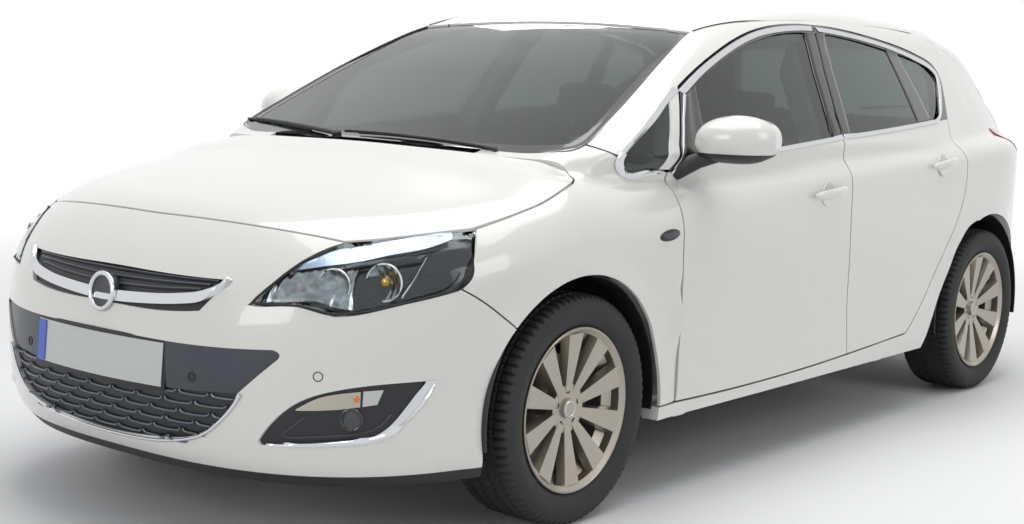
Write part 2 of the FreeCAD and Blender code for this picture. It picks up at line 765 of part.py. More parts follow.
# Fixed side panels, in the same view.
FENDER_SHARES = (
    ((0.172, 0.187),),
    ((0.177, 0.25), (0.176, 0.39), (0.169, 0.54), (0.171, 0.59), (0.177, 0.640)),
    ((0.160, 0.646), (0.14, 0.643), (0.115, 0.640)),
    ((0.100, 0.672),),
    ((0.070, 0.700),),
    ((0.0, 1.0),),
    ((-0.380, 1.0),),
    ((-0.380, 0.563),),
    ((-0.445, 0.506), (-0.486, 0.466)),
    ((-0.40, 0.435), (-0.25, 0.360)),
    ((-0.25, 0.187),),
)
SIDE_FRAME_SHARES = (
    ((0.95, 0.158),),
    ((1.30, 0.33),),
    ((1.42, 0.373), (1.58, 0.428), (1.72, 0.470)),
    ((1.72, 1.1),),
    ((0.0, 1.1),),
    ((0.070, 0.700),),
    ((0.100, 0.672),),
    ((0.115, 0.640),),
    ((0.14, 0.643), (0.160, 0.646)),
    ((0.20, 0.640),),
    ((0.20, 0.187),),
    ((0.10, 0.187),),
    ((0.10, 0.158),),
)
HINGE_PILLAR_SHARES = (
    ((0.171, 0.165),),
    ((0.174, 0.25), (0.173, 0.39), (0.166, 0.54), (0.168, 0.59), (0.174, 0.640)),
    ((0.160, 0.66),),
    ((0.06, 0.66),),
    ((0.06, 0.165),),
)
CENTRE_PILLAR_SHARES = (
    ((0.562, 0.165),),
    ((0.560, 0.30), (0.554, 0.439), (0.546, 0.590), (0.550, 0.650)),
    ((0.555, 0.723), (0.571, 0.824), (0.612, 0.965)),
    ((0.580, 0.965),),
    ((0.540, 0.824), (0.525, 0.723), (0.520, 0.650)),
    ((0.517, 0.590), (0.524, 0.439), (0.530, 0.30), (0.532, 0.165)),
)
REAR_ARCH_SHARES = (
    ((0.832, 0.268), (0.868, 0.36), (0.905, 0.435), (0.95, 0.466)),
    ((1.0, 0.40),),
    ((1.0, 0.10),),
    ((0.77, 0.10),),
    ((0.79, 0.165),),
)
fender_line = side_outline(FENDER_SHARES)
side_frame_line = side_outline(SIDE_FRAME_SHARES)
hinge_pillar_line = side_outline(HINGE_PILLAR_SHARES)
centre_pillar_line = side_outline(CENTRE_PILLAR_SHARES)
rear_arch_line = side_outline(REAR_ARCH_SHARES)


def symmetric(runs, first, second):
    """A whole outline from its right-hand (positive) half, which starts and ends on the middle line."""
    half = [[(first(a), second(b)) for a, b in run] for run in runs]
    points = []
    last = None
    for run in half:
        points.append(run if last is None else [last] + run)
        last = run[-1]
    other = [[(-a, b) for a, b in reversed(run)] for run in reversed(points)]
    joined = points[:-1]
    if len(points[-1]) + len(other[0]) == 4 and abs(points[-1][0][1] - last[1]) < float(seat_gap):
        joined = joined + [[points[-1][0], other[0][-1]]]
    else:
        joined = joined + [points[-1] + other[0][1:]]
    whole = joined + other[1:]
    first_run = whole[0]
    last_run = whole.pop()
    whole[0] = last_run + first_run[1:]
    return Outline(whole)


# Plan outlines, right-hand half from the front middle to the rear middle: share of the half width, then station.
HOOD_SHARES = (
    ((0.0, -0.793), (0.094, -0.791), (0.413, -0.762), (0.664, -0.688)),
    ((0.765, -0.578), (0.822, -0.482), (0.863, -0.394)),
    ((0.876, -0.30), (0.882, -0.15), (0.880, -0.030), (0.862, 0.018)),
    ((0.832, 0.034), (0.79, 0.040)),
    ((0.60, 0.019), (0.30, 0.001), (0.0, -0.005)),
)
SCREEN_SHARES = (
    ((0.0, 0.012), (0.157, 0.013), (0.479, 0.025), (0.703, 0.046), (0.785, 0.073)),
    ((0.761, 0.147), (0.719, 0.223), (0.633, 0.347)),
    ((0.307, 0.356), (0.0, 0.360)),
)
ROOF_SHARES = (
    ((0.0, 0.363), (0.307, 0.359), (0.640, 0.349)),
    ((0.665, 0.50), (0.670, 0.70), (0.650, 0.94)),
    ((0.40, 0.960), (0.0, 0.968)),
)
hood_outline = symmetric(HOOD_SHARES, across, station)
screen_outline = symmetric(SCREEN_SHARES, across, station)
roof_outline = symmetric(ROOF_SHARES, across, station)

# Front-view outlines: share of the half width, then of the height; anticlockwise with X to the right.
LAMP_SHARES = (
    ((0.525, 0.438), (0.60, 0.439), (0.65, 0.440), (0.695, 0.433), (0.736, 0.426)),
    ((0.80, 0.433), (0.845, 0.444), (0.889, 0.455), (0.915, 0.464)),
    ((0.925, 0.485), (0.915, 0.510), (0.868, 0.563)),
    ((0.822, 0.558), (0.765, 0.551), (0.669, 0.541), (0.604, 0.509), (0.564, 0.472), (0.525, 0.438)),
)
GRILLE_SHARES = (
    ((0.0, 0.412), (0.20, 0.412), (0.385, 0.421)),
    ((0.455, 0.474),),
    ((0.345, 0.473), (0.19, 0.473), (0.0, 0.474)),
)
PANEL_SHARES = (
    ((0.0, 0.284), (0.26, 0.285), (0.52, 0.291)),
    ((0.614, 0.348),),
    ((0.626, 0.361), (0.608, 0.3685)),
    ((0.37, 0.3645), (0.0, 0.3655)),
)
LOW_GRILLE_SHARES = (
    ((0.0, 0.184), (0.23, 0.193), (0.40, 0.215), (0.47, 0.245), (0.52, 0.291)),
    ((0.26, 0.285), (0.0, 0.284)),
)
FOG_SHARES = (
    ((0.59, 0.208), (0.70, 0.213), (0.80, 0.219)),
    ((0.842, 0.238), (0.872, 0.280), (0.887, 0.314)),
    ((0.82, 0.3125), (0.753, 0.305), (0.673, 0.285), (0.61, 0.250), (0.567, 0.214)),
    ((0.57, 0.208), (0.59, 0.208)),
)


def closed(runs, first, second):
    """An outline whose first run starts at the last point."""
    result = []
    last = None
    for run in runs:
        points = [(first(a), second(b)) for a, b in run]
        result.append(points if last is None else [last] + points)
        last = points[-1]
    start = result[0][0]
    if math.hypot(last[0] - start[0], last[1] - start[1]) > float(seat_gap):
        result.append([last, start])
    return Outline(result)


lamp_line = closed(LAMP_SHARES, across, level)
grille_line = symmetric(GRILLE_SHARES, across, level)
panel_line = symmetric(PANEL_SHARES, across, level)
low_grille_line = symmetric(LOW_GRILLE_SHARES, across, level)
fog_line = closed(FOG_SHARES, across, level)

# Rear-view outlines of the tailgate: share of the half width, then of the height, from the bottom middle.
HATCH_SHARES = (
    ((0.0, 0.460), (0.30, 0.462), (0.60, 0.470)),
    ((0.67, 0.480), (0.70, 0.50)),
    ((0.755, 0.60), (0.775, 0.68)),
    ((0.755, 0.74), (0.71, 0.83), (0.670, 0.92)),
    ((0.655, 0.96),),
    ((0.655, 1.06),),
    ((0.0, 1.06),),
)
HATCH_GLASS_SHARES = (
    ((0.0, 0.705), (0.45, 0.712), (0.66, 0.725)),
    ((0.645, 0.78), (0.60, 0.86)),
    ((0.575, 0.893),),
    ((0.30, 0.900), (0.0, 0.902)),
)
hatch_line = symmetric(HATCH_SHARES, across, level)
hatch_glass_line = symmetric(HATCH_GLASS_SHARES, across, level)
TAIL_LAMP_SHARES = (
    ((1.50, 0.685), (1.62, 0.672), (1.75, 0.655), (1.90, 0.628)),
    ((2.05, 0.600),),
    ((2.05, 0.500),),
    ((1.80, 0.505), (1.70, 0.520)),
    ((1.66, 0.560), (1.60, 0.625), (1.50, 0.685)),
)
tail_lamp_line = closed(TAIL_LAMP_SHARES, station, level)

DEG = math.pi / 180
side_rows = spread(-0.02, 1.72, 52)
side_columns = spread(-52 * DEG, 82 * DEG, 34)
half_gap = panel_gap / 2

# Layers of the body side, from which doors, pillars, rails and quarters are cut.
skin_depth = size("skin_depth")
inner_start = skin_depth - size("skin_overlap")
door_depth = size("door_depth")
frame_depth = size("frame_depth")
wall_depth = size("wall_depth")
pillar_cover = size("pillar_cover")
pillar_depth = size("pillar_depth")
glass_set = size("glass_set")
glass_back = glass_set + size("glass_thickness")
side_layers = Layers(side_ray, side_rows, side_columns,
                     (0, skin_depth, inner_start, door_depth, frame_depth, wall_depth, pillar_cover,
                      pillar_depth, glass_set, glass_back))
skin_layer = side_layers.slab(0, skin_depth)
door_layer = side_layers.slab(inner_start, door_depth)
frame_layer = side_layers.slab(inner_start, frame_depth)
wall_layer = side_layers.slab(0, wall_depth)
pillar_layer = side_layers.slab(pillar_cover, pillar_depth)
glass_layer = side_layers.slab(glass_set, glass_back)


def side_band(first, last, bottom, top):
    """A side-view rectangle as a prism."""
    return side_prism(side_outline((((last, bottom),), ((last, top),), ((first, top),), ((first, bottom),))))


roof_room = plan_prism(roof_outline.grown(panel_gap + panel_gap), belt_height)


def make_door(line, window, front, rear, belt):
    """Outer skin, thick lower box and window frame of one door, with its window cut."""
    outer = skin_layer.common(side_prism(line.grown(-half_gap)))
    inner = side_prism(line.grown(-half_gap - size("door_inset")))
    box = door_layer.common(inner).common(side_band(front, rear, 0, belt))
    frame = frame_layer.common(inner)
    return biggest(outer.fuse([box, frame]).cut([side_prism(window), roof_room]))


def make_glass(window):
    return biggest(glass_layer.common(side_prism(window.grown(-seat_gap))))


DOOR_BELT_SHARE = 0.615
front_door = make_door(front_door_line, front_window_line, 0.0, 0.516, DOOR_BELT_SHARE)
rear_door = make_door(rear_door_line, rear_window_line, 0.5, 1.0, DOOR_BELT_SHARE)
front_glass = make_glass(front_window_line)
rear_glass = make_glass(rear_window_line)
quarter_glass = make_glass(quarter_window_line)
for label, left in (("front_door", front_door), ("rear_door", rear_door),
                    ("front_glass", front_glass), ("rear_glass", rear_glass)):
    node(label + "_left", left)
    node(label + "_right", mirrored(left))
node("quarter_glass", pair(quarter_glass))


def arch_cut(axle, radius, inner_reach, outer_reach=None):
    """A round cut through the body side at one wheel."""
    start = Vector(float(inner_reach), float(axle) - arch_shift, axle_height)
    outer = reach_out if outer_reach is None else outer_reach
    return Part.makeCylinder(float(radius), outer - float(inner_reach), start, Vector(1, 0, 0))


room_reach = across(0.90)
lip_reach = across(0.952)
room_growth = float(size("room_growth"))
front_room = arch_cut(front_axle, arch_radius_front + room_growth, size("arch_inner_reach"), room_reach)
front_arch = arch_cut(front_axle, arch_radius_front, size("arch_inner_reach")).fuse(front_room)
rear_arch = arch_cut(rear_axle, arch_radius_rear, size("arch_inner_reach_rear"))
rear_arch = rear_arch.fuse(side_prism(rear_arch_line, float(size("arch_inner_reach_rear"))))

# The side frame: sill, pillars, cant rail and rear quarter, all round the door openings.
door_openings = [side_prism(front_door_line.grown(half_gap)), side_prism(rear_door_line.grown(half_gap))]
side_frame = wall_layer.common(side_prism(side_frame_line.grown(-half_gap)))
for opening in door_openings:
    side_frame = side_frame.cut(opening)
pillars = pillar_layer.common(side_prism(hinge_pillar_line).fuse(side_prism(centre_pillar_line)))
screen_cut = plan_prism(screen_outline, belt_height * 0.9)
roof_cut = plan_prism(roof_outline, belt_height)
hood_cut = plan_prism(hood_outline.grown(half_gap), core_height * 0.9)
side_frame = side_frame.fuse(pillars)
side_frame = side_frame.cut([side_prism(quarter_window_line), screen_cut, roof_cut, hood_cut, front_arch, rear_arch,
                             rear_prism(hatch_line.grown(half_gap)), side_prism(tail_lamp_line)])
jack_left = size("jack_spread") - size("jack_half_width")
jack_right = size("jack_spread") + size("jack_half_width")
for middle in (-size("jack_ahead"), size("jack_behind")):
    jack_pad = block(jack_left, jack_right, middle - size("jack_half_length"), middle + size("jack_half_length"),
                     size("jack_bottom"), size("jack_top"))
    side_frame = side_frame.fuse(jack_pad)
side_frame = biggest(side_frame)
node("side_frames", pair(side_frame))

# Front fenders.
fender_depth = size("fender_depth")
fender_layers = Layers(fender_ray, spread(-0.62, 0.19, 34), spread(-48 * DEG, 84 * DEG, 34), (0, fender_depth))
fender = fender_layers.slab(0, fender_depth).common(side_prism(fender_line.grown(-half_gap)))
lamp_cut = front_prism(lamp_line)
fender = biggest(fender.cut([hood_cut, front_arch, screen_cut, lamp_cut, side_prism(quarter_window_line)]))
node("front_fenders", pair(fender))

# Hood.
hood_depth = size("hood_depth")
hood_layers = Layers(top_ray, spread(-0.93, 0.93, 33), spread(-0.855, 0.075, 36), (0, hood_depth))
hood = biggest(hood_layers.slab(0, hood_depth).common(plan_prism(hood_outline.grown(-half_gap))))
node("hood", hood)

# Windscreen and roof.
screen_layers = Layers(top_ray, spread(-0.84, 0.84, 29), spread(0.004, 0.385, 24), (glass_set, glass_back))
windscreen = screen_layers.slab(glass_set, glass_back).common(plan_prism(screen_outline.grown(-seat_gap)))
node("windscreen", biggest(windscreen))
roof_depth = size("roof_depth")
roof_layers = Layers(top_ray, spread(-0.70, 0.70, 25), spread(0.335, 0.99, 28), (0, roof_depth))
roof = roof_layers.slab(0, roof_depth).common(plan_prism(roof_outline.grown(-seat_gap)))
node("roof_panel", biggest(roof))

# Front bumper.
bumper_depth = size("bumper_depth")
panel_set = size("panel_set")
panel_depth = size("panel_depth")
lamp_depth = size("lamp_depth")
grille_set = size("grille_set")
nose_layers = Layers(nose_ray, spread(-77 * DEG, 77 * DEG, 61), spread(-27 * DEG, 34 * DEG, 33),
                     (0, bumper_depth, panel_set, panel_depth, lamp_depth, grille_set))
bumper = nose_layers.slab(0, bumper_depth)
side_cut = side_prism(fender_line.grown(half_gap / 2), across(0.5))
behind = side_band(-0.25, 0.4, 0.0, 0.6)
under = block(-reach_out, reach_out, -overall_length, 0, 0, level(0.132))
openings = [front_prism(line) for line in (grille_line, panel_line, low_grille_line)]
bumper = bumper.cut([hood_cut, side_cut, mirrored(side_cut), behind, mirrored(behind), front_arch,
                     mirrored(front_arch), lamp_cut, mirrored(lamp_cut), front_prism(fog_line),
                     mirrored(front_prism(fog_line)), under] + openings)
bumper = biggest(bumper)
node("front_bumper", bumper)

# Front lamps, grilles and the dark panel, seated in the bumper's openings.
headlamp = nose_layers.slab(0, lamp_depth).common(front_prism(lamp_line.grown(-seat_gap)))
headlamp = biggest(headlamp.cut([hood_cut]))
node("headlamps", pair(headlamp))
fog = nose_layers.slab(panel_set, panel_depth).common(front_prism(fog_line.grown(-seat_gap)))
node("fog_lamps", pair(biggest(fog)))
panel = nose_layers.slab(panel_set, panel_depth).common(front_prism(panel_line.grown(-seat_gap)))
node("bumper_panel", biggest(panel))
upper_grille = nose_layers.slab(grille_set, panel_depth).common(front_prism(grille_line.grown(-seat_gap)))
node("upper_grille", biggest(upper_grille))
lower_grille = nose_layers.slab(grille_set, panel_depth).common(front_prism(low_grille_line.grown(-seat_gap)))
node("lower_grille", biggest(lower_grille))

# Tailgate with its glass, over a chart that turns from the roof down to the bumper.
hatch_depth = size("hatch_depth")
hatch_lip = size("hatch_lip")
hatch_layers = Layers(hatch_ray, spread(-0.80, 0.80, 33), spread(-14 * DEG, 97 * DEG, 46),
                      (0, hatch_lip, hatch_depth, glass_set, glass_back))
hatch_prism = rear_prism(hatch_line)
hatch_front = block(-reach_out, reach_out, station(HATCH_FRONT_SHARE), overall_length, 0, 2 * full_height)
hatch_core = hatch_layers.slab(hatch_lip, hatch_depth).common(rear_prism(hatch_line.grown(-size("hatch_rim"))))
hatch = hatch_layers.slab(0, hatch_lip).common(hatch_prism).fuse(hatch_core).common(hatch_front)
node("tailgate", biggest(hatch.cut(rear_prism(hatch_glass_line))))
hatch_glass = hatch_layers.slab(glass_set, glass_back).common(rear_prism(hatch_glass_line.grown(-seat_gap)))
node("tailgate_glass", biggest(hatch_glass))

# Rear bumper and tail lamps.
tail_layers = Layers(tail_ray, spread(-80 * DEG, 80 * DEG, 61), spread(-24 * DEG, 36 * DEG, 31),
                     (0, bumper_depth, lamp_depth))
rear_bumper = tail_layers.slab(0, bumper_depth)
side_frame_cut = side_prism(side_frame_line, across(0.5))
tail_lamp_cut = side_prism(tail_lamp_line, across(0.4))
hatch_cut = rear_prism(hatch_line.grown(half_gap))
rear_bumper = rear_bumper.cut([side_frame_cut, mirrored(side_frame_cut), hatch_cut, tail_lamp_cut,
                               mirrored(tail_lamp_cut), rear_arch, mirrored(rear_arch),
                               block(-reach_out, reach_out, 0, overall_length, 0, level(0.14)),
                               block(-reach_out, reach_out, 0, overall_length, level(0.505), 2 * full_height)])
rear_bumper = biggest(rear_bumper)
node("rear_bumper", rear_bumper)
tail_lamp = tail_layers.slab(0, lamp_depth).common(side_prism(tail_lamp_line.grown(-seat_gap), across(0.4)))
tail_lamp = tail_lamp.cut([hatch_cut])
node("tail_lamps", pair(biggest(tail_lamp)))


# Parametric bodies. A sketch polygon takes its corners from sizes, and each corner is bound to its formula.
def origin_feature(body_object, role):
    return [feature for feature in body_object.Origin.OriginFeatures if feature.Role == role][0]


def sketch_on(body_object, name, plane, offset=None):
    sketch = body_object.newObject("Sketcher::SketchObject", name)
    sketch.AttachmentSupport = [(origin_feature(body_object, plane), "")]
    sketch.MapMode = "FlatFace"
    if offset is not None:
        sketch.AttachmentOffset = Placement(Vector(0, 0, float(offset)), Rotation())
        sketch.setExpression("AttachmentOffset.Base.z", offset.text)
    return sketch


def bind_point(sketch, edge, end, a, b):
    for kind, axis, value in (("DistanceX", -2, a), ("DistanceY", -1, b)):
        if float(value) == 0:
            sketch.addConstraint(Sketcher.Constraint("PointOnObject", edge, end, axis))
        else:
            index = sketch.addConstraint(Sketcher.Constraint(kind, -1, 1, edge, end, float(value)))
            sketch.setExpression("Constraints[%d]" % index, value.text)


def draw_polygon(sketch, corners):
    count = len(corners)
    for i, (a, b) in enumerate(corners):
        c, d = corners[(i + 1) % count]
        sketch.addGeometry(Part.LineSegment(Vector(float(a), float(b), 0), Vector(float(c), float(d), 0)))
    for i in range(count):
        sketch.addConstraint(Sketcher.Constraint("Coincident", i, 2, (i + 1) % count, 1))
    for i, (a, b) in enumerate(corners):
        bind_point(sketch, i, 1, a, b)


def draw_circle(sketch, radius, a=0, b=0):
    edge = sketch.addGeometry(Part.Circle(Vector(float(a), float(b), 0), Vector(0, 0, 1), float(radius)))
    index = sketch.addConstraint(Sketcher.Constraint("Radius", edge, float(radius)))
    sketch.setExpression("Constraints[%d]" % index, radius.text)
    bind_point(sketch, edge, 3, a, b)


def revolve(body_object, name, corners, kind="PartDesign::Revolution"):
    """A polygon of (along the axle, radius) corners turned about the axle."""
    sketch = sketch_on(body_object, name + "_profile", "XY_Plane")
    draw_polygon(sketch, corners)
    feature = body_object.newObject(kind, name)
    feature.Profile = sketch
    feature.ReferenceAxis = (sketch, ["H_Axis"])
    feature.Angle = 360
    return feature


def pad_disc(body_object, name, radius, outer, length):
    """A round pad about the axle, from a place on the axle inboard."""
    sketch = sketch_on(body_object, name + "_circle", "YZ_Plane", outer)
    draw_circle(sketch, radius)
    feature = body_object.newObject("PartDesign::Pad", name)
    feature.Profile = sketch
    feature.setExpression("Length", length.text)
    feature.Reversed = True
    return feature


WHEELS = (("front_left", 1, 0), ("front_right", -1, 0), ("rear_left", 1, 1), ("rear_right", -1, 1))


def wheel_place(side, rear):
    """The tyre centre, with the wheel's own X pointing outboard."""
    track = size("track_rear") if rear else size("track_front")
    along = rear_axle if rear else front_axle
    turn = Rotation() if side > 0 else Rotation(Vector(0, 0, 1), 180)
    return Placement(Vector(side * float(track) / 2, float(along), axle_height), turn)


def make_tyre():
    """A tyre of plane facets: a cross-section of straight edges turned about the axle in equal steps."""
    half = float(size("tyre_width")) / 2
    tread = float(size("tread_width")) / 2
    bead = float(size("bead_radius"))
    flange = float(size("rim_flange_radius") + seat_gap)
    heel = float(size("bead_width")) / 2 - float(size("rim_flange_width"))
    toe = heel - float(size("bead_length"))
    steps = int(size("tyre_facets"))
    outer = axle_height / math.cos(math.pi / steps)
    widest = float(size("sidewall_radius"))
    section = ((tread, outer), (half, widest), (heel, flange), (toe, bead),
               (0, float(size("tyre_liner_radius"))), (-toe, bead), (-heel, flange), (-half, widest), (-tread, outer))
    rings = []
    for step in range(steps):
        angle = 2 * math.pi * (step + 0.5) / steps
        rings.append([Vector(a, r * math.sin(angle), r * math.cos(angle)) for a, r in section])
    faces = []
    for step in range(steps):
        here, there = rings[step], rings[(step + 1) % steps]
        for n in range(len(section)):
            m = (n + 1) % len(section)
            faces.append(Part.Face(Part.makePolygon([here[n], here[m], there[m], there[n], here[n]])))
    shell = Part.makeShell(faces)
    shell.sewShape()
    tyre = Part.makeSolid(shell)
    if tyre.Volume < 0:
        tyre.reverse()
    return tyre


def make_rim(label):
    rim = doc.addObject("PartDesign::Body", label)
    edge = size("bead_width") / 2
    flange = size("rim_flange_radius")
    flange_in = edge - size("rim_flange_width")
    seat = size("bead_radius") - seat_gap
    wall = size("rim_wall")
    well = size("rim_well_radius")
    revolve(rim, label + "_barrel", (
        (edge, flange), (flange_in + seat_gap, flange), (flange_in + seat_gap, seat), (edge * 0.55, seat),
        (edge * 0.40, well), (-edge * 0.1, well), (-edge * 0.3, seat - wall), (-flange_in - seat_gap, seat),
        (-flange_in - seat_gap, flange), (-edge, flange), (-edge, flange - wall), (-flange_in, seat - wall),
        (-edge * 0.3, seat - wall * 2), (-edge * 0.1, well - wall), (edge * 0.45, well - wall),
        (edge * 0.60, seat - wall), (flange_in, seat - wall), (edge, flange - wall)))
    hub_face = edge - size("spoke_inset") - size("spoke_dish")
    face = edge - size("spoke_inset")
    thickness = size("spoke_thickness")
    pad_disc(rim, label + "_hub", size("hub_face_radius"), hub_face, thickness)
    root = size("spoke_root_width") / 2
    tip = size("spoke_tip_width") / 2
    sections = []
    for number, (radius, half, front, back) in enumerate((
            (size("hub_face_radius") * 0.7, root, hub_face, hub_face - thickness),
            (seat - wall, tip, face, face - thickness))):
        section_sketch = sketch_on(rim, "%s_spoke_%d" % (label, number), "XY_Plane", radius)
        draw_polygon(section_sketch, ((front, half * 0.8), (back, half), (back, -half), (front, -half * 0.8)))
        sections.append(section_sketch)
    spoke = rim.newObject("PartDesign::AdditiveLoft", label + "_spoke")
    spoke.Profile = sections[0]
    spoke.Sections = sections[1:]
    spoke.Ruled = True
    doc.recompute()
    spokes = rim.newObject("PartDesign::PolarPattern", label + "_spokes")
    spokes.Originals = [spoke]
    spokes.Axis = (origin_feature(rim, "X_Axis"), [""])
    spokes.Angle = 360
    spokes.setExpression("Occurrences", "sizes.spoke_count")
    rim.Tip = spokes
    pad_disc(rim, label + "_barrel_hub", size("hub_radius"), hub_face - thickness / 2,
             hub_face - thickness / 2 + size("disc_offset") + size("disc_thickness"))
    pad_disc(rim, label + "_disc", size("disc_radius"), -size("disc_offset"), size("disc_thickness"))
    cap = pad_disc(rim, label + "_cap", size("cap_radius"), hub_face + size("cap_height"), thickness)
    hole_sketch = sketch_on(rim, label + "_bolt_circle", "YZ_Plane", hub_face)
    draw_circle(hole_sketch, size("bolt_hole_radius"), zero, size("bolt_circle_radius"))
    hole = rim.newObject("PartDesign::Pocket", label + "_bolt_hole")
    hole.Profile = hole_sketch
    hole.setExpression("Length", (thickness / 2).text)
    doc.recompute()
    holes = rim.newObject("PartDesign::PolarPattern", label + "_bolt_holes")
    holes.Originals = [hole]
    holes.Axis = (origin_feature(rim, "X_Axis"), [""])
    holes.Angle = 360
    holes.setExpression("Occurrences", "sizes.bolt_count")
    rim.Tip = holes
    return rim


tyre_shape = make_tyre()
for place, side, rear in WHEELS:
    tyre = node("tyre_" + place, tyre_shape.copy())
    rim = make_rim("rim_" + place)
    nodes.append(rim)
    for made in (tyre, rim):
        made.Placement = wheel_place(side, rear)

# Steering knuckles with their struts; the steering axis runs up from the lower ball joint.
wheel_x = float(size("track_front")) / 2
disc_inner = wheel_x - float(size("disc_offset") + size("disc_thickness"))
carrier_out = disc_inner - float(size("carrier_gap"))
carrier_in = carrier_out - float(size("bearing_length"))
ball = Vector(float(size("ball_reach")), front_axle_y, float(size("ball_height")))
strut_top = Vector(ball.x - float(size("strut_lean")), front_axle_y, float(size("strut_top_height")))
strut_axis = strut_top - ball
strut_foot = ball + strut_axis * 0.13
knuckle = rod(Vector(carrier_in, front_axle_y, axle_height), Vector(carrier_out, front_axle_y, axle_height),
              size("carrier_radius"))
knuckle = knuckle.fuse([rod(strut_foot, strut_top, size("strut_radius")),
                        rod(ball, strut_foot + strut_axis * 0.04, size("ball_radius"))])
for label, shape in (("knuckle_left", knuckle), ("knuckle_right", mirrored(knuckle))):
    node(label, shape)

# Front subframe with the lower arms and the steering rack.
arm_top = ball.z - float(size("ball_seat")) - float(size("arm_thickness"))
subframe_half = float(size("subframe_width")) / 2
subframe_length = float(size("subframe_length"))
subframe_top = arm_top + float(size("subframe_height"))
subframe = block(-subframe_half, subframe_half, front_axle_y - subframe_length / 3,
                 front_axle_y + subframe_length * 2 / 3, arm_top, subframe_top)
arms = []
for side in (1, -1):
    outer = rod(Vector(side * ball.x, front_axle_y, arm_top),
                Vector(side * ball.x, front_axle_y, arm_top + float(size("arm_thickness"))),
                size("arm_width") / 2)
    reach = block(side * subframe_half * 0.8, side * ball.x, front_axle_y - size("arm_width") / 2,
                  front_axle_y + size("arm_width") / 2, arm_top, arm_top + size("arm_thickness"))
    arms += [outer, reach]
node("front_subframe", subframe.fuse(arms))

# Rear axle: beam, trailing arms, hub carriers, springs and dampers.
rear_wheel_x = float(size("track_rear")) / 2
arm_x = float(size("trailing_arm_reach"))
arm_half = float(size("trailing_arm_width")) / 2
beam_y = rear_axle_y - float(size("beam_lead"))
beam_half = float(size("beam_width")) / 2
beam_high = float(size("beam_height")) / 2
beam = block(-arm_x, arm_x, beam_y - beam_half, beam_y + beam_half, axle_height - beam_high, axle_height + beam_high)
hollow = block(-arm_x, arm_x, beam_y - beam_half, beam_y + beam_half - size("beam_wall"),
               axle_height - beam_high + size("beam_wall"), axle_height + beam_high - size("beam_wall"))
pieces = []
for side in (1, -1):
    arm_front = rear_axle_y - float(size("trailing_arm_length"))
    pieces.append(block(side * (arm_x - arm_half), side * (arm_x + arm_half), arm_front, rear_axle_y + arm_half,
                        axle_height - arm_half, axle_height + arm_half))
    pieces.append(rod(Vector(side * (arm_x - arm_half), arm_front, axle_height),
                      Vector(side * (arm_x + arm_half), arm_front, axle_height), size("bush_radius")))
    inner = rear_wheel_x - float(size("disc_offset") + size("disc_thickness") + size("carrier_gap"))
    pieces.append(rod(Vector(side * arm_x, rear_axle_y, axle_height), Vector(side * inner, rear_axle_y, axle_height),
                      size("carrier_radius")))
    damper_x = side * float(size("damper_reach"))
    pieces.append(rod(Vector(damper_x, station(1.02), axle_height), Vector(damper_x, station(1.09), level(0.45)),
                      size("damper_radius")))
rear_axle_shape = beam.cut(hollow).fuse(pieces)
node("rear_axle", rear_axle_shape)

# Floor pan from its side profile: firewall, floor, seat pan, load floor and tail panel.
FLOOR_SHARES = ((0.075, 0.640), (0.105, 0.36), (0.165, 0.158), (0.68, 0.158), (0.72, 0.245), (0.90, 0.245),
                (0.925, 0.262), (1.80, 0.262), (1.86, 0.40), (1.86, 0.44))
FLOOR_PLAN_SHARES = (
    ((0.0, 0.03), (0.80, 0.03)),
    ((0.93, 0.11),),
    ((0.93, 1.10),),
    ((0.86, 1.35), (0.74, 1.60), (0.60, 1.80)),
    ((0.52, 1.90),),
    ((0.0, 1.90),),
)
floor_thickness = float(size("floor_thickness"))
floor_line = [(station(a), level(b)) for a, b in FLOOR_SHARES]
upper = []
for i, (a, b) in enumerate(floor_line):
    before = floor_line[max(0, i - 1)]
    after = floor_line[min(len(floor_line) - 1, i + 1)]
    direction = unit(before, after)
    upper.append((a - direction[1] * floor_thickness, b + direction[0] * floor_thickness))
ring = floor_line + list(reversed(upper))
floor_half = float(size("floor_half_width"))
points = [Vector(-floor_half, a, b) for a, b in ring]
floor = Part.Face(Part.makePolygon(points + [points[0]])).extrude(Vector(2 * floor_half, 0, 0))
wheel_rooms = []
for room in (front_room, arch_cut(rear_axle, arch_radius_rear, size("arch_inner_reach_rear"))):
    wheel_rooms += [room, mirrored(room)]
floor = floor.common(plan_prism(symmetric(FLOOR_PLAN_SHARES, across, station)))
door_reach = float(size("door_reach"))
notches = [side_prism(line.grown(half_gap), door_reach) for line in (front_door_line, rear_door_line)]
floor = biggest(floor.cut(wheel_rooms + notches + [mirrored(notch) for notch in notches]))

# Engine bay: strut towers, rails and a front crossmember, joined to the firewall.
tower_top = float(size("strut_top_height") + size("tower_seat"))
tower_depth = float(size("tower_depth"))
rail_in, rail_out = float(size("rail_inner_reach")), float(size("rail_outer_reach"))
rail_low, rail_high = level(0.265), level(0.32)
bay_front = station(-0.72)
firewall_y = station(0.10)
bay = [block(-across(0.5), across(0.5), bay_front, bay_front + tower_depth, level(0.22), level(0.45))]
for side in (1, -1):
    bay.append(block(side * rail_in, side * rail_out, bay_front, station(0.15), rail_low, rail_high))
    bay.append(block(side * rail_in, side * across(0.78), station(-0.09), firewall_y, tower_top,
                     tower_top + tower_depth))
floor = floor.fuse(bay)
floor = biggest(floor.cut([side_frame, mirrored(side_frame), fender, mirrored(fender), rear_bumper]))
node("floor_pan", floor)

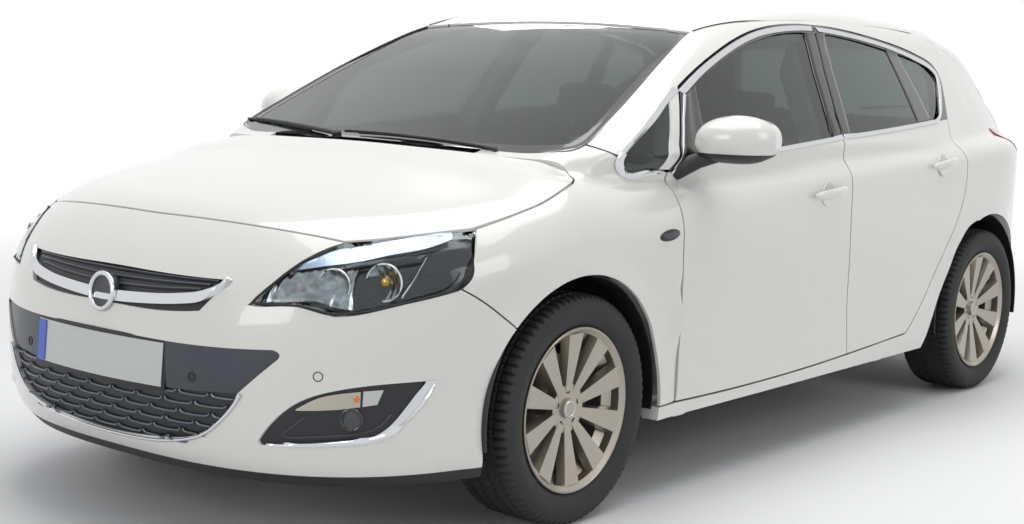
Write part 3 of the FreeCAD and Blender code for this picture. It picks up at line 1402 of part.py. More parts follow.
# The scuttle: a dark channel before the windscreen, with a wall rising to the foot of the glass.
SCUTTLE_SHARES = (
    ((0.0, 0.018), (0.157, 0.019), (0.479, 0.031), (0.703, 0.053), (0.755, 0.068)),
    ((0.74, 0.080),),
    ((0.68, 0.062), (0.479, 0.041), (0.157, 0.029), (0.0, 0.028)),
)
foot_depth = glass_back + size("scuttle_seat")
foot_layers = Layers(top_ray, spread(-0.84, 0.84, 25), spread(0.004, 0.16, 14), (foot_depth, size("scuttle_depth")))
scuttle = foot_layers.slab(foot_depth, size("scuttle_depth"))
scuttle = scuttle.common(plan_prism(symmetric(SCUTTLE_SHARES, across, station)))
scuttle = scuttle.fuse(block(-across(0.77), across(0.77), station(-0.02), station(0.085), level(0.605), level(0.625)))
scuttle = scuttle.cut([side_frame, mirrored(side_frame), fender, mirrored(fender), floor])
node("scuttle", biggest(scuttle))

# Exhaust: pipe, silencer across the tail, and tail pipe.
pipe = size("pipe_radius")
pipe_x = -float(size("pipe_reach"))
pipe_z = float(size("pipe_height"))
silencer_y = station(1.62)
silencer_z = pipe_z + float(size("silencer_radius"))
exhaust = rod(Vector(pipe_x, station(0.2), pipe_z), Vector(pipe_x, silencer_y, pipe_z), pipe)
exhaust = exhaust.fuse([
    rod(Vector(pipe_x * 1.5, silencer_y, silencer_z), Vector(-pipe_x * 1.5, silencer_y, silencer_z),
        size("silencer_radius")),
    rod(Vector(pipe_x, silencer_y, pipe_z), Vector(pipe_x, station(1.79), pipe_z), pipe)])
node("exhaust", exhaust)

# Wheel liners: thin arches from the arch lips inboard, closed at the inner end.
def liner(axle, radius, growth, inner):
    """One liner: a round room that narrows to the arch edge, with its thickness taken inward."""
    shells = []
    for inset in (float(seat_gap), float(seat_gap + size("liner_thickness"))):
        room = arch_cut(axle, radius + growth - inset, inner + inset, room_reach - inset)
        shells.append(room.fuse(arch_cut(axle, radius - inset, room_reach - 2 * inset, lip_reach)))
    mouth = arch_cut(axle, radius - seat_gap - size("liner_thickness"), room_reach - radius / 9)
    keep = block(0, reach_out, float(axle) - 2 * radius, float(axle) + 2 * radius, level(0.18), full_height)
    return shells[0].cut([shells[1], mouth]).common(keep)


front_liner = liner(front_axle, arch_radius_front, room_growth, float(size("arch_inner_reach")))
rear_liner = liner(rear_axle, arch_radius_rear, 0.0, float(size("arch_inner_reach_rear")))
strut_room = rod(strut_foot, strut_top, size("strut_radius") * 2)
panels = [side_frame, fender, bumper, mirrored(bumper), rear_bumper, mirrored(rear_bumper)]
front_liner = biggest(front_liner.cut(panels + [strut_room]))
axle_notch = block(0, size("arch_inner_reach_rear") + size("strut_radius"), station(0.88), station(1.07), 0,
                   level(0.285))
rear_liner = biggest(rear_liner.cut(panels + [axle_notch]))
node("wheel_liners", Part.makeCompound([front_liner, mirrored(front_liner), rear_liner, mirrored(rear_liner)]))

# Engine and gearbox as one plain block.
engine = doc.addObject("Part::Box", "engine_block")
engine.setExpression("Length", "sizes.engine_width")
engine.setExpression("Width", "sizes.engine_length")
engine.setExpression("Height", "sizes.engine_height")
engine.Placement = Placement(Vector(-size("engine_width") / 2, station(-0.32), subframe_top + float(seat_gap)),
                             Rotation())
nodes.append(engine)


# Seats, dashboard and steering wheel.
def side_profile(shares, start, stop, place=station):
    """A side profile of (station, height) shares swept across the car."""
    corners = [Vector(start, place(a), level(b)) for a, b in shares]
    return Part.Face(Part.makePolygon(corners + [corners[0]])).extrude(Vector(stop - start, 0, 0))


def rounded(shape, radius):
    return shape.makeFillet(float(radius), shape.Edges)


FRONT_SEAT_SHARES = ((0.335, 0.250), (0.335, 0.345), (0.345, 0.372), (0.505, 0.345), (0.575, 0.690), (0.625, 0.690),
                     (0.580, 0.345), (0.545, 0.200), (0.50, 0.1742), (0.36, 0.1742))
HEADREST_SHARES = ((0.585, 0.705), (0.590, 0.790), (0.625, 0.790), (0.630, 0.705))
REAR_SEAT_SHARES = ((0.722, 0.2612), (0.715, 0.350), (0.725, 0.372), (0.875, 0.350), (0.955, 0.700), (0.985, 0.700),
                    (0.925, 0.350), (0.895, 0.2612))
seat_half = float(size("front_seat_width")) / 2
seat_x = float(size("front_seat_reach"))
seat_round = size("seat_rounding")
seat = side_profile(FRONT_SEAT_SHARES, seat_x - seat_half, seat_x + seat_half)
headrest = side_profile(HEADREST_SHARES, seat_x - seat_half / 2, seat_x + seat_half / 2)
post = rod(Vector(seat_x, station(0.602), level(0.66)), Vector(seat_x, station(0.602), level(0.74)), seat_round / 2)
front_seat = rounded(seat, seat_round).fuse([rounded(headrest, seat_round), post])
node("front_seats", pair(front_seat))
bench_half = float(size("rear_bench_width")) / 2
node("rear_bench", rounded(side_profile(REAR_SEAT_SHARES, -bench_half, bench_half), seat_round * 0.8))

DASH_SHARES = ((0.125, 0.640), (0.20, 0.650), (0.275, 0.625), (0.285, 0.560), (0.255, 0.500), (0.235, 0.400),
               (0.19, 0.40), (0.14, 0.52))
dash_half = float(size("dash_half_width"))
dashboard = rounded(side_profile(DASH_SHARES, -dash_half, dash_half), seat_round / 3)
node("dashboard", biggest(dashboard.cut([side_frame, mirrored(side_frame), floor])))

# Steering wheel on its column, leaning toward the driver.
wheel_centre = Vector(seat_x, station(0.335), level(0.575))
column_foot = Vector(seat_x, station(0.2873), level(0.545))
column_axis = wheel_centre - column_foot
column_axis.normalize()
hoop = Part.makeTorus(float(size("steering_radius")), float(size("steering_grip")), wheel_centre, column_axis)
boss = rod(wheel_centre - column_axis * float(size("steering_grip")) * 2, wheel_centre, size("steering_boss"))
column = rod(column_foot, wheel_centre, size("column_radius"))
bars = []
for turn in (0, 120, 240):
    bar = block(0, size("steering_radius"), -size("steering_grip"), size("steering_grip"),
                -size("steering_grip") / 2, size("steering_grip") / 2)
    bar.Placement = Placement(wheel_centre, Rotation(Vector(0, 0, 1), column_axis)).multiply(
        Placement(Vector(0, 0, 0), Rotation(Vector(0, 0, 1), turn - 90)))
    bars.append(bar)
node("steering_wheel", hoop.fuse([boss, column] + bars))

# Door mirrors.
mirror_reach = float(size("mirror_half_width"))
mirror_shape = Part.makeSphere(mirror_reach)
stretch = FreeCAD.Matrix()
stretch.scale(1, float(size("mirror_half_depth")) / mirror_reach, float(size("mirror_half_height")) / mirror_reach)
mirror_shape = mirror_shape.transformGeometry(stretch)
mirror_centre = Vector(across(1.06), station(0.232), level(0.708))
mirror_shape.translate(mirror_centre)
mirror_shape = mirror_shape.cut(block(0, reach_out, mirror_centre.y + size("mirror_half_depth") * 0.45,
                                      overall_length, 0, 2 * full_height))
foot_start = depth_points((0.0, station(0.20), level(0.638)), (1.0, 0.0, 0.0), (0.0,))[0]
foot = rod(foot_start + Vector(float(seat_round) / 4, 0, 0), mirror_centre, seat_round)
mirror = biggest(mirror_shape.fuse(foot).cut([front_door, front_glass]))
for label, shape in (("mirror_left", mirror), ("mirror_right", mirrored(mirror))):
    node(label, shape)


# Check and write every sub-part.
doc.recompute()
failures = [thing.Name for thing in doc.Objects if "Invalid" in thing.State or "Error" in thing.State]
for part in nodes:
    if part.Shape.isNull() or not part.Shape.isValid():
        failures.append(part.Label)
if failures:
    raise RuntimeError("failed: " + ", ".join(failures))
os.makedirs("parts", exist_ok=True)
for part in nodes:
    part.Shape.exportStep(os.path.join("parts", part.Label + ".step"))
    box = part.Shape.BoundBox
    print("%-18s %2d solids %8.1f cm3  x %7.0f %7.0f  y %7.0f %7.0f  z %6.0f %6.0f" % (
        part.Label, len(part.Shape.Solids), part.Shape.Volume / 1000, box.XMin, box.XMax, box.YMin, box.YMax,
        box.ZMin, box.ZMax))
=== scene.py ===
"""A compact five-door hatchback car with off-white paint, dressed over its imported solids.

Everything is in metres in the solids' own frame: the nose points to -Y, +X is the car's left,
+Z is up.
"""

import json
import logging
import math
from dataclasses import dataclass, field
from enum import Enum
from typing import Callable, Dict, List, Optional, Sequence, Tuple, Union

import bpy
from mathutils import Matrix, Vector
from mathutils.bvhtree import BVHTree

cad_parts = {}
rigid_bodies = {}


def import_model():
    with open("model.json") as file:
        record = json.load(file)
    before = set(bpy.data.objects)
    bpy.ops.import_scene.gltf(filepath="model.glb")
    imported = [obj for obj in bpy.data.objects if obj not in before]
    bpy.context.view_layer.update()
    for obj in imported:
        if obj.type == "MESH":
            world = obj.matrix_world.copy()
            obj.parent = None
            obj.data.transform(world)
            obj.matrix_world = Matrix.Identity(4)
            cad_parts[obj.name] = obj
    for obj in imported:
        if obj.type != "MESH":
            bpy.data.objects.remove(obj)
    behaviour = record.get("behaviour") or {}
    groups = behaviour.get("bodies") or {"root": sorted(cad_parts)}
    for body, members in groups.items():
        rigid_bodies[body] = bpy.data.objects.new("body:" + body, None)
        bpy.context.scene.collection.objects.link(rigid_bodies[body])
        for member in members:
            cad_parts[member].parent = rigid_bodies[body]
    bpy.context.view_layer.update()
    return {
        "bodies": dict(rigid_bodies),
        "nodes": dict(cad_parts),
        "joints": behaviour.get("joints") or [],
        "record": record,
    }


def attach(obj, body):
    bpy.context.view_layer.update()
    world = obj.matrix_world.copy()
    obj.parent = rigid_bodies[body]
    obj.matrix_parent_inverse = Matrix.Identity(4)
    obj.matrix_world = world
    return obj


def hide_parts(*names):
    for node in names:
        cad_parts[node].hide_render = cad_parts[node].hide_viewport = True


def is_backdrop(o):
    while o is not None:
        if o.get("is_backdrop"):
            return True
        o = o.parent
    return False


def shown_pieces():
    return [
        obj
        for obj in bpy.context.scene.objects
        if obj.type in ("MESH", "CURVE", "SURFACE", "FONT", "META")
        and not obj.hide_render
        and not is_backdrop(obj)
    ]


LOG = logging.getLogger("hatchback")
HALF_WIDTH = 0.907
HEIGHT = 1.5
FRONT_AXLE = -1.2645
WHEELBASE = 2.685
REAR_AXLE = FRONT_AXLE + WHEELBASE
AXLE_HEIGHT = 0.3234
FRONT_OVERHANG = 0.945
REAR_OVERHANG = 0.789
MERGE_DISTANCE = 0.00005
WAVE_PITCH = 6.3
INWARD_NORMAL = -0.3
SIDES = (("left", 1), ("right", -1))
Place = Callable[[float, float], Vector]
Spots = Sequence[Tuple[float, float]]
Spot = Tuple[float, float, float]
Pad = Tuple[str, Spot, Spot, float, float, float]


def station(share: float) -> float:
    """The place along the car for a share: -1 nose, 0 front axle, 1 rear axle, 2 tail.

    Args:
        share: where it lies.

    Returns:
        The place in metres.
    """
    if share < 0:
        return FRONT_AXLE + share * FRONT_OVERHANG
    if share < 1:
        return FRONT_AXLE + share * WHEELBASE
    return REAR_AXLE + (share - 1) * REAR_OVERHANG


def linear(code: str) -> Tuple[float, float, float, float]:
    """Turns an sRGB hex colour into linear values.

    Args:
        code: six hex digits after a hash.

    Returns:
        Red, green, blue and an alpha of 1.
    """
    parts = [int(code[i:i + 2], 16) / 255 for i in (1, 3, 5)]
    turned = [c / 12.92 if c <= 0.04045 else ((c + 0.055) / 1.055) ** 2.4 for c in parts]
    return turned[0], turned[1], turned[2], 1.0


def add(tree: bpy.types.NodeTree, kind: str, settings: Optional[Dict[str, object]] = None,
        links: Optional[Dict[object, bpy.types.NodeSocket]] = None) -> bpy.types.Node:
    """Adds one node.

    Args:
        tree: the material's node tree.
        kind: node type after "ShaderNode".
        settings: attribute values, or socket values where the name is a socket's.
        links: socket name or number to the output that feeds it.

    Returns:
        The node.
    """
    node = tree.nodes.new("ShaderNode" + kind)
    for name, value in (settings or {}).items():
        if isinstance(name, str) and hasattr(node, name):
            setattr(node, name, value)
        else:
            node.inputs[name].default_value = value
    for name, output in (links or {}).items():
        tree.links.new(output, node.inputs[name])
    return node


def material_once(name: str, dress: Callable[[bpy.types.NodeTree], None]) -> bpy.types.Material:
    """Builds a node material once and gives it again after that.

    Args:
        name: the material's name.
        dress: fills its node tree.

    Returns:
        The material.
    """
    found = bpy.data.materials.get(name)
    if found:
        return found
    made = bpy.data.materials.new(name)
    made.use_nodes = True
    dress(made.node_tree)
    return made


class Pattern(Enum):
    """How the surface of a finish is broken up."""

    SMOOTH = "smooth"
    GRAIN = "grain"
    BRUSHED = "brushed"
    WEAVE = "weave"
    FLUTED = "fluted"


@dataclass(frozen=True)
class Finish:
    """One real finish; its pattern size is in millimetres."""

    name: str
    colour: str
    roughness: float
    metallic: float = 0.0
    coat: float = 0.0
    pattern: Pattern = Pattern.GRAIN
    size_mm: float = 2.0
    depth_mm: float = 0.02
    mottle: float = 0.04
    clear: float = 0.0
    ior: float = 1.5
    sheen: float = 0.0
    cloud_mm: float = 0.0

    def material(self) -> bpy.types.Material:
        """The node material, built once."""
        return material_once(self.name, self.fill)

    def fill(self, tree: bpy.types.NodeTree) -> None:
        """Dresses a tree's own shader with this finish alone."""
        self.dress(tree, tree.nodes["Principled BSDF"], add(tree, "TexCoord"))

    def dress(self, tree: bpy.types.NodeTree, shader: bpy.types.Node,
              coords: bpy.types.Node) -> None:
        """Sets up one surface shader for this finish.

        Args:
            tree: the material's node tree.
            shader: the surface shader node.
            coords: the coordinate node it reads.
        """
        shader.inputs["Metallic"].default_value = self.metallic
        shader.inputs["Coat Weight"].default_value = self.coat
        shader.inputs["Coat Roughness"].default_value = 0.04
        shader.inputs["Transmission Weight"].default_value = self.clear
        shader.inputs["Sheen Weight"].default_value = self.sheen
        if not self.metallic:
            shader.inputs["IOR"].default_value = self.ior
        cloud = add(tree, "TexNoise",
                    {"Scale": 1000 / (self.cloud_mm or self.size_mm * 40), "Detail": 3.0},
                    {"Vector": coords.outputs["Object"]})
        base = linear(self.colour)
        dark = tuple(c * (1 - self.mottle * 4) for c in base[:3]) + (1.0,)
        tint = add(tree, "Mix", {"data_type": "RGBA"}, {0: cloud.outputs["Fac"]})
        tint.inputs[6].default_value = dark
        tint.inputs[7].default_value = base
        tree.links.new(tint.outputs[2], shader.inputs["Base Color"])
        rough = add(tree, "MapRange",
                    {"To Min": max(0.0, self.roughness - 0.05), "To Max": self.roughness + 0.05},
                    {"Value": cloud.outputs["Fac"]})
        tree.links.new(rough.outputs["Result"], shader.inputs["Roughness"])
        height = self.relief(tree, coords)
        if height is not None:
            bump = add(tree, "Bump", {"Strength": 0.6, "Distance": self.depth_mm / 1000},
                       {"Height": height})
            tree.links.new(bump.outputs["Normal"], shader.inputs["Normal"])

    def relief(self, tree: bpy.types.NodeTree,
               coords: bpy.types.Node) -> Optional[bpy.types.NodeSocket]:
        """The height pattern of this finish, or None on a smooth one.

        Args:
            tree: the material's node tree.
            coords: the coordinate node it reads.

        Returns:
            The socket with the heights.
        """
        if self.pattern is Pattern.SMOOTH:
            return None
        scale = 1000 / self.size_mm
        if self.pattern is Pattern.GRAIN:
            grain = add(tree, "TexNoise", {"Scale": scale, "Detail": 2.0},
                        {"Vector": coords.outputs["Object"]})
            return grain.outputs["Fac"]
        if self.pattern is Pattern.BRUSHED:
            drawn = add(tree, "Mapping", {"Scale": (1.0, 20.0, 20.0)},
                        {"Vector": coords.outputs["Object"]})
            lines = add(tree, "TexNoise", {"Scale": scale, "Detail": 4.0},
                        {"Vector": drawn.outputs["Vector"]})
            return lines.outputs["Fac"]
        if self.pattern is Pattern.FLUTED:
            return self.ridges(tree, coords, "X", 0.0)
        warp, weft = [self.ridges(tree, coords, direction, 0.4) for direction in ("X", "Z")]
        both = add(tree, "Math", {"operation": "MAXIMUM"}, {0: warp, 1: weft})
        return both.outputs["Value"]

    def ridges(self, tree: bpy.types.NodeTree, coords: bpy.types.Node, direction: str,
               distortion: float) -> bpy.types.NodeSocket:
        """Waves one pattern size apart.

        Args:
            tree: the material's node tree.
            coords: the coordinate node they read.
            direction: the axis they follow each other along.
            distortion: how far they wander.

        Returns:
            The socket with their heights.
        """
        wave = add(tree, "TexWave",
                   {"bands_direction": direction, "Scale": 1000 / self.size_mm / WAVE_PITCH,
                    "Distortion": distortion}, {"Vector": coords.outputs["Object"]})
        return wave.outputs["Fac"]


@dataclass(frozen=True)
class Split:
    """One finish above a level line and another below it, as on a masked and sprayed part."""

    name: str
    below: Finish
    above: Finish
    level: float
    climb: float = 0.0

    def material(self) -> bpy.types.Material:
        """The masked material, built once."""
        return material_once(self.name, self.dress)

    def dress(self, tree: bpy.types.NodeTree) -> None:
        """Sets up both finishes and the line between them.

        Args:
            tree: the material's node tree.
        """
        coords = add(tree, "TexCoord")
        first = tree.nodes["Principled BSDF"]
        second = add(tree, "BsdfPrincipled")
        self.below.dress(tree, first, coords)
        self.above.dress(tree, second, coords)
        apart = add(tree, "SeparateXYZ", {}, {0: coords.outputs["Object"]})
        line = add(tree, "Math", {"operation": "MULTIPLY_ADD", 1: self.climb, 2: self.level},
                   {0: apart.outputs["Y"]})
        over = add(tree, "Math", {"operation": "GREATER_THAN"},
                   {0: apart.outputs["Z"], 1: line.outputs["Value"]})
        mixed = add(tree, "MixShader", {},
                    {0: over.outputs["Value"], 1: first.outputs[0], 2: second.outputs[0]})
        tree.links.new(mixed.outputs[0], tree.nodes["Material Output"].inputs["Surface"])


# Two-layer car enamel: off-white base under clear lacquer, so highlights are sharp and edges soft.
PAINT = Finish("white_enamel_lacquered", "#dcdbd6", 0.30, coat=1.0, size_mm=9, depth_mm=0.012,
               mottle=0.004)
# Laminated and toughened float glass with a privacy tint.
GLASS = Finish("tinted_float_glass", "#7d8b86", 0.0, pattern=Pattern.SMOOTH, mottle=0.01, clear=1.0,
               ior=1.5)
# Polycarbonate lamp cover, nearly colourless.
LENS = Finish("polycarbonate_lens", "#eef4f8", 0.0, pattern=Pattern.SMOOTH, mottle=0.0, clear=1.0,
              ior=1.2)
# Injection-moulded polypropylene, black with a fine spark-eroded grain.
BLACK_PLASTIC = Finish("moulded_polypropylene_black", "#1d1e21", 0.45, size_mm=1.2, depth_mm=0.05)
# Piano-black acrylic on pillars, window frames and the screen's printed border.
GLOSS_BLACK = Finish("piano_black_acrylic", "#101113", 0.12, coat=0.6, size_mm=12, depth_mm=0.01)
# Painted bumper insert in dark grey metallic satin.
GREY_PANEL = Finish("satin_grey_enamel", "#343841", 0.38, coat=0.2, size_mm=1.5, depth_mm=0.02)
# Blue-grey satin lacquer on the lower grille's bars, also laid on a strip along the top edge of
# each upper slat as a painted highlight where the edges catch the sky.
GRILLE_GREY_AND_HIGHLIGHT = Finish("blue_grey_lacquer_and_painted_highlight", "#646a75", 0.3, metallic=0.5, coat=0.3, size_mm=2,
                      depth_mm=0.01)
# Chrome plate over polished plastic.
CHROME = Finish("chrome_plate", "#d3d5d8", 0.07, metallic=1.0, size_mm=15, depth_mm=0.002,
                mottle=0.01)
# Cast aluminium wheel under warm silver lacquer.
ALLOY = Finish("silver_lacquered_aluminium", "#a9a398", 0.30, metallic=0.85, coat=0.4, size_mm=1.0,
               depth_mm=0.005, mottle=0.01)
# Vulcanised tyre rubber, matt charcoal.
RUBBER = Finish("vulcanised_rubber", "#252525", 0.72, size_mm=1.6, depth_mm=0.08)
# Moulded EPDM seal.
SEAL = Finish("extruded_rubber_seal", "#131314", 0.6, size_mm=1.5, depth_mm=0.03)
# Woven seat cloth; threads drawn at 2.4 mm so that they show.
CLOTH = Finish("woven_polyester_cloth", "#34363a", 0.9, pattern=Pattern.WEAVE, size_mm=2.4,
               depth_mm=0.35, sheen=0.3)
# Soft-touch cabin plastic with leather-like grain.
CABIN = Finish("soft_touch_plastic", "#26272a", 0.6, size_mm=1.8, depth_mm=0.12)
# Cast iron and aluminium castings, sand-blasted.
CASTING = Finish("sand_cast_metal", "#5c5d5f", 0.6, metallic=0.8, size_mm=1.5, depth_mm=0.1,
                 mottle=0.06)
# Machined brake iron.
BRAKE = Finish("machined_brake_iron", "#7d7b78", 0.35, metallic=1.0, pattern=Pattern.BRUSHED,
               size_mm=1.0)
# Stone-guard coating under the floor.
UNDERBODY = Finish("stone_guard_coating", "#202123", 0.75, size_mm=3.0, depth_mm=0.2)
# Weathered stainless exhaust steel.
EXHAUST = Finish("weathered_stainless_steel", "#8a857e", 0.4, metallic=1.0, pattern=Pattern.BRUSHED,
                 size_mm=1.5)
# Red acrylic of the tail lamps with vertical flutes.
RED_LENS = Finish("red_acrylic_lens", "#9c0f14", 0.06, coat=0.8, pattern=Pattern.FLUTED, size_mm=6,
                  depth_mm=0.2)
# Amber bulb cover.
AMBER = Finish("amber_acrylic", "#e0791e", 0.15, coat=0.5, pattern=Pattern.FLUTED, size_mm=5,
               depth_mm=0.2)
# Aluminised reflector behind the lamp covers, pressed in ridges.
REFLECTOR = Finish("aluminised_reflector", "#c3c6c4", 0.10, metallic=1.0, pattern=Pattern.FLUTED,
                   size_mm=9, depth_mm=1.6, mottle=0.23, cloud_mm=16)
# Cap in front of each bulb, coloured gold as a painted glint.
BULB_CAP_PAINTED_GLINT = Finish("bulb_cap_painted_gold_glint", "#c39a2c", 0.15, metallic=0.8, coat=0.4, size_mm=4,
                  depth_mm=0.1, cloud_mm=12)
# Smoked glass of the round fog lamps.
SMOKED = Finish("smoked_lamp_glass", "#3a3f44", 0.06, metallic=0.6, coat=1.0,
                pattern=Pattern.FLUTED, size_mm=7, depth_mm=0.6, mottle=0.15, cloud_mm=14)
# Prismatic clear cover of the daylight lamp in front of its reflector, warm white.
PRISM = Finish("prismatic_clear_cover", "#b9b4a6", 0.15, metallic=0.4, coat=0.8,
               pattern=Pattern.FLUTED, size_mm=4, depth_mm=0.3)
# Satin metallised shelf inside the headlamp, painted pale blue as a reflection of the sky.
SHELF_PAINTED_SKY = Finish("metallised_shelf_painted_sky_reflection", "#b4c0d2", 0.2, metallic=0.7, coat=0.5, size_mm=10,
                    depth_mm=0.01)
# Embossed plate sheet left blank.
PLATE = Finish("reflective_plate_sheet", "#c4c6c4", 0.35, coat=0.2, size_mm=3, depth_mm=0.02,
               mottle=0.01)
BLUE_BAND = Finish("blue_plate_film", "#1450c0", 0.3, coat=0.3, size_mm=3, depth_mm=0.02)

# Bodywork that is masked along the belt or the lip and sprayed black beyond it.
FRONT_DOOR_SKIN = Split("front_door_masked_enamel", PAINT, GLOSS_BLACK, 1.022, 0.0800)
REAR_DOOR_SKIN = Split("rear_door_masked_enamel", PAINT, GLOSS_BLACK, 1.032, 0.0497)
LIP_SKIN = Split("bumper_masked_enamel", BLACK_PLASTIC, PAINT, 0.228)
VALANCE_SKIN = Split("rear_bumper_masked_enamel", BLACK_PLASTIC, PAINT, 0.262)
MIRROR_SKIN = Split("mirror_masked_enamel", BLACK_PLASTIC, PAINT, 1.022)

SLOT_FINISHES: Dict[str, Finish] = {
    "paint": PAINT, "glass": GLASS, "lamp_clear": LENS, "black_plastic": BLACK_PLASTIC,
    "grey_panel": GREY_PANEL, "lamp_red": RED_LENS, "cast_metal": CASTING, "steel": UNDERBODY,
    "exhaust_steel": EXHAUST, "fabric": CLOTH, "cabin_plastic": CABIN, "tyre": RUBBER,
    "alloy": ALLOY}


def deselect() -> None:
    """Leaves edit mode and deselects everything."""
    if bpy.context.object and bpy.context.object.mode != "OBJECT":
        bpy.ops.object.mode_set(mode="OBJECT")
    bpy.ops.object.select_all(action="DESELECT")


def hold(obj: bpy.types.Object) -> None:
    """Makes one object the only selected and active one.

    Args:
        obj: the object.
    """
    deselect()
    obj.select_set(True)
    bpy.context.view_layer.objects.active = obj


def edit(obj: bpy.types.Object, *steps: Callable[[], object]) -> None:
    """Runs operators on one object in edit mode with all of it selected.

    Args:
        obj: the object.
        *steps: the operators, called in order.
    """
    hold(obj)
    bpy.ops.object.mode_set(mode="EDIT")
    bpy.ops.mesh.select_all(action="SELECT")
    for step in steps:
        step()
    bpy.ops.object.mode_set(mode="OBJECT")


def settle(obj: bpy.types.Object, name: str) -> bpy.types.Object:
    """Names a piece and applies its place so that its object sits at the origin.

    Args:
        obj: the piece.
        name: its name.

    Returns:
        The same object.
    """
    hold(obj)
    bpy.ops.object.transform_apply(location=True, rotation=True, scale=True)
    obj.name = name
    obj.data.name = name
    return obj


def modify(obj: bpy.types.Object, kind: str, **settings: object) -> None:
    """Adds a modifier and applies it.

    Args:
        obj: the piece.
        kind: the modifier's type.
        **settings: its values.
    """
    hold(obj)
    made = obj.modifiers.new(kind.lower(), kind)
    for name, value in settings.items():
        setattr(made, name, value)
    bpy.ops.object.modifier_apply(modifier=made.name)


def seen_rays(tree: bpy.types.NodeTree) -> bpy.types.NodeSocket:
    """Marks the rays that see plain white: from the camera, through glass and off polish.

    Args:
        tree: the node tree it is added to.

    Returns:
        A socket that is 1 on those rays.
    """
    path = add(tree, "LightPath")
    clear = add(tree, "Math", {"operation": "MAXIMUM"},
                {0: path.outputs["Is Camera Ray"], 1: path.outputs["Is Transmission Ray"]})
    seen = add(tree, "Math", {"operation": "MAXIMUM"},
               {0: clear.outputs["Value"], 1: path.outputs["Is Glossy Ray"]})
    return seen.outputs["Value"]


def finish_piece(obj: bpy.types.Object, finish: Union[Finish, Split], body: str, slot: str,
                 angle: float = 0.6) -> bpy.types.Object:
    """Shades, paints and places a piece on its body.

    Args:
        obj: the finished mesh.
        finish: its material.
        body: the moving body it rides on.
        slot: the record's material slot it belongs to.
        angle: edge angle in radians kept sharp.

    Returns:
        The same object.
    """
    hold(obj)
    bpy.ops.object.shade_smooth_by_angle(angle=angle)
    obj.data.materials.clear()
    obj.data.materials.append(finish.material())
    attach(obj, body)
    LOG.info("%s rides on %s, %s", obj.name, body, slot)
    return obj


def patch(name: str, across: int, along: int, place: Place, thickness: float = 0.0,
          bevel: float = 0.0, merge: bool = False) -> bpy.types.Object:
    """A grid primitive whose vertices are moved to a formed sheet.

    Args:
        name: piece name.
        across: faces in the first direction.
        along: faces in the second direction.
        place: gives the point for two shares from 0 to 1.
        thickness: wall given by Solidify, inward if negative.
        bevel: rounding of its edges.
        merge: joins edges that meet, for a closed form.

    Returns:
        The piece with its place in its mesh.
    """
    deselect()
    bpy.ops.mesh.primitive_grid_add(x_subdivisions=across, y_subdivisions=along, size=2)
    obj = bpy.context.object
    for vertex in obj.data.vertices:
        vertex.co = place((vertex.co.x + 1) / 2, (vertex.co.y + 1) / 2)
    if merge:
        edit(obj, lambda: bpy.ops.mesh.remove_doubles(threshold=MERGE_DISTANCE),
             lambda: bpy.ops.mesh.normals_make_consistent(inside=False))
    if thickness:
        modify(obj, "SOLIDIFY", thickness=abs(thickness), offset=1.0 if thickness > 0 else -1.0)
    if bevel:
        modify(obj, "BEVEL", width=bevel, segments=2, limit_method="ANGLE")
    return settle(obj, name)


def tube(name: str, points: Sequence[Vector], radius: float,
         radii: Optional[Sequence[float]] = None, closed: bool = False) -> bpy.types.Object:
    """A bar along a curve, made a mesh.

    Args:
        name: piece name.
        points: the line it follows.
        radius: its thickness.
        radii: share of the thickness at each point.
        closed: joins its ends.

    Returns:
        The piece.
    """
    deselect()
    bpy.ops.curve.primitive_nurbs_path_add()
    obj = bpy.context.object
    obj.data.splines.clear()
    spline = obj.data.splines.new("POLY")
    spline.points.add(len(points) - 1)
    for n, point in enumerate(points):
        spline.points[n].co = (*point, 1.0)
        spline.points[n].radius = radii[n] if radii else 1.0
    spline.use_cyclic_u = closed
    obj.data.dimensions = "3D"
    obj.data.bevel_depth = radius
    obj.data.bevel_resolution = 3
    obj.data.use_fill_caps = not closed
    bpy.ops.object.convert(target="MESH")
    obj = bpy.context.object
    return settle(obj, name)


def basin(name: str, centre: Vector, normal: Vector, radius: float, depth: float,
          rings: Sequence[Tuple[float, float]], sides: int = 32) -> bpy.types.Object:
    """A cylinder whose front is inset and pushed in ring by ring.

    Args:
        name: piece name.
        centre: middle of its front face.
        normal: the way the front faces.
        radius: its outer radius.
        depth: its length behind the front.
        rings: pairs of inset and push for each ring.
        sides: edges round it.

    Returns:
        The piece.
    """
    deselect()
    bpy.ops.mesh.primitive_cylinder_add(vertices=sides, radius=radius, depth=depth,
                                        location=(0, 0, -depth / 2))
    obj = settle(bpy.context.object, name)
    edit(obj, lambda: bpy.ops.mesh.select_all(action="DESELECT"))
    top = max(obj.data.polygons, key=lambda face: face.center.z)
    top.select = True
    hold(obj)
    bpy.ops.object.mode_set(mode="EDIT")
    bpy.ops.mesh.select_mode(type="FACE")
    for inset, push in rings:
        bpy.ops.mesh.inset(thickness=inset, depth=0)
        bpy.ops.transform.translate(value=(0, 0, push))
    bpy.ops.object.mode_set(mode="OBJECT")
    modify(obj, "BEVEL", width=min(radius, depth) * 0.06, segments=2, limit_method="ANGLE",
           angle_limit=0.7)
    turn = normal.to_track_quat("Z", "Y").to_matrix().to_4x4()
    obj.data.transform(Matrix.Translation(centre) @ turn)
    return obj


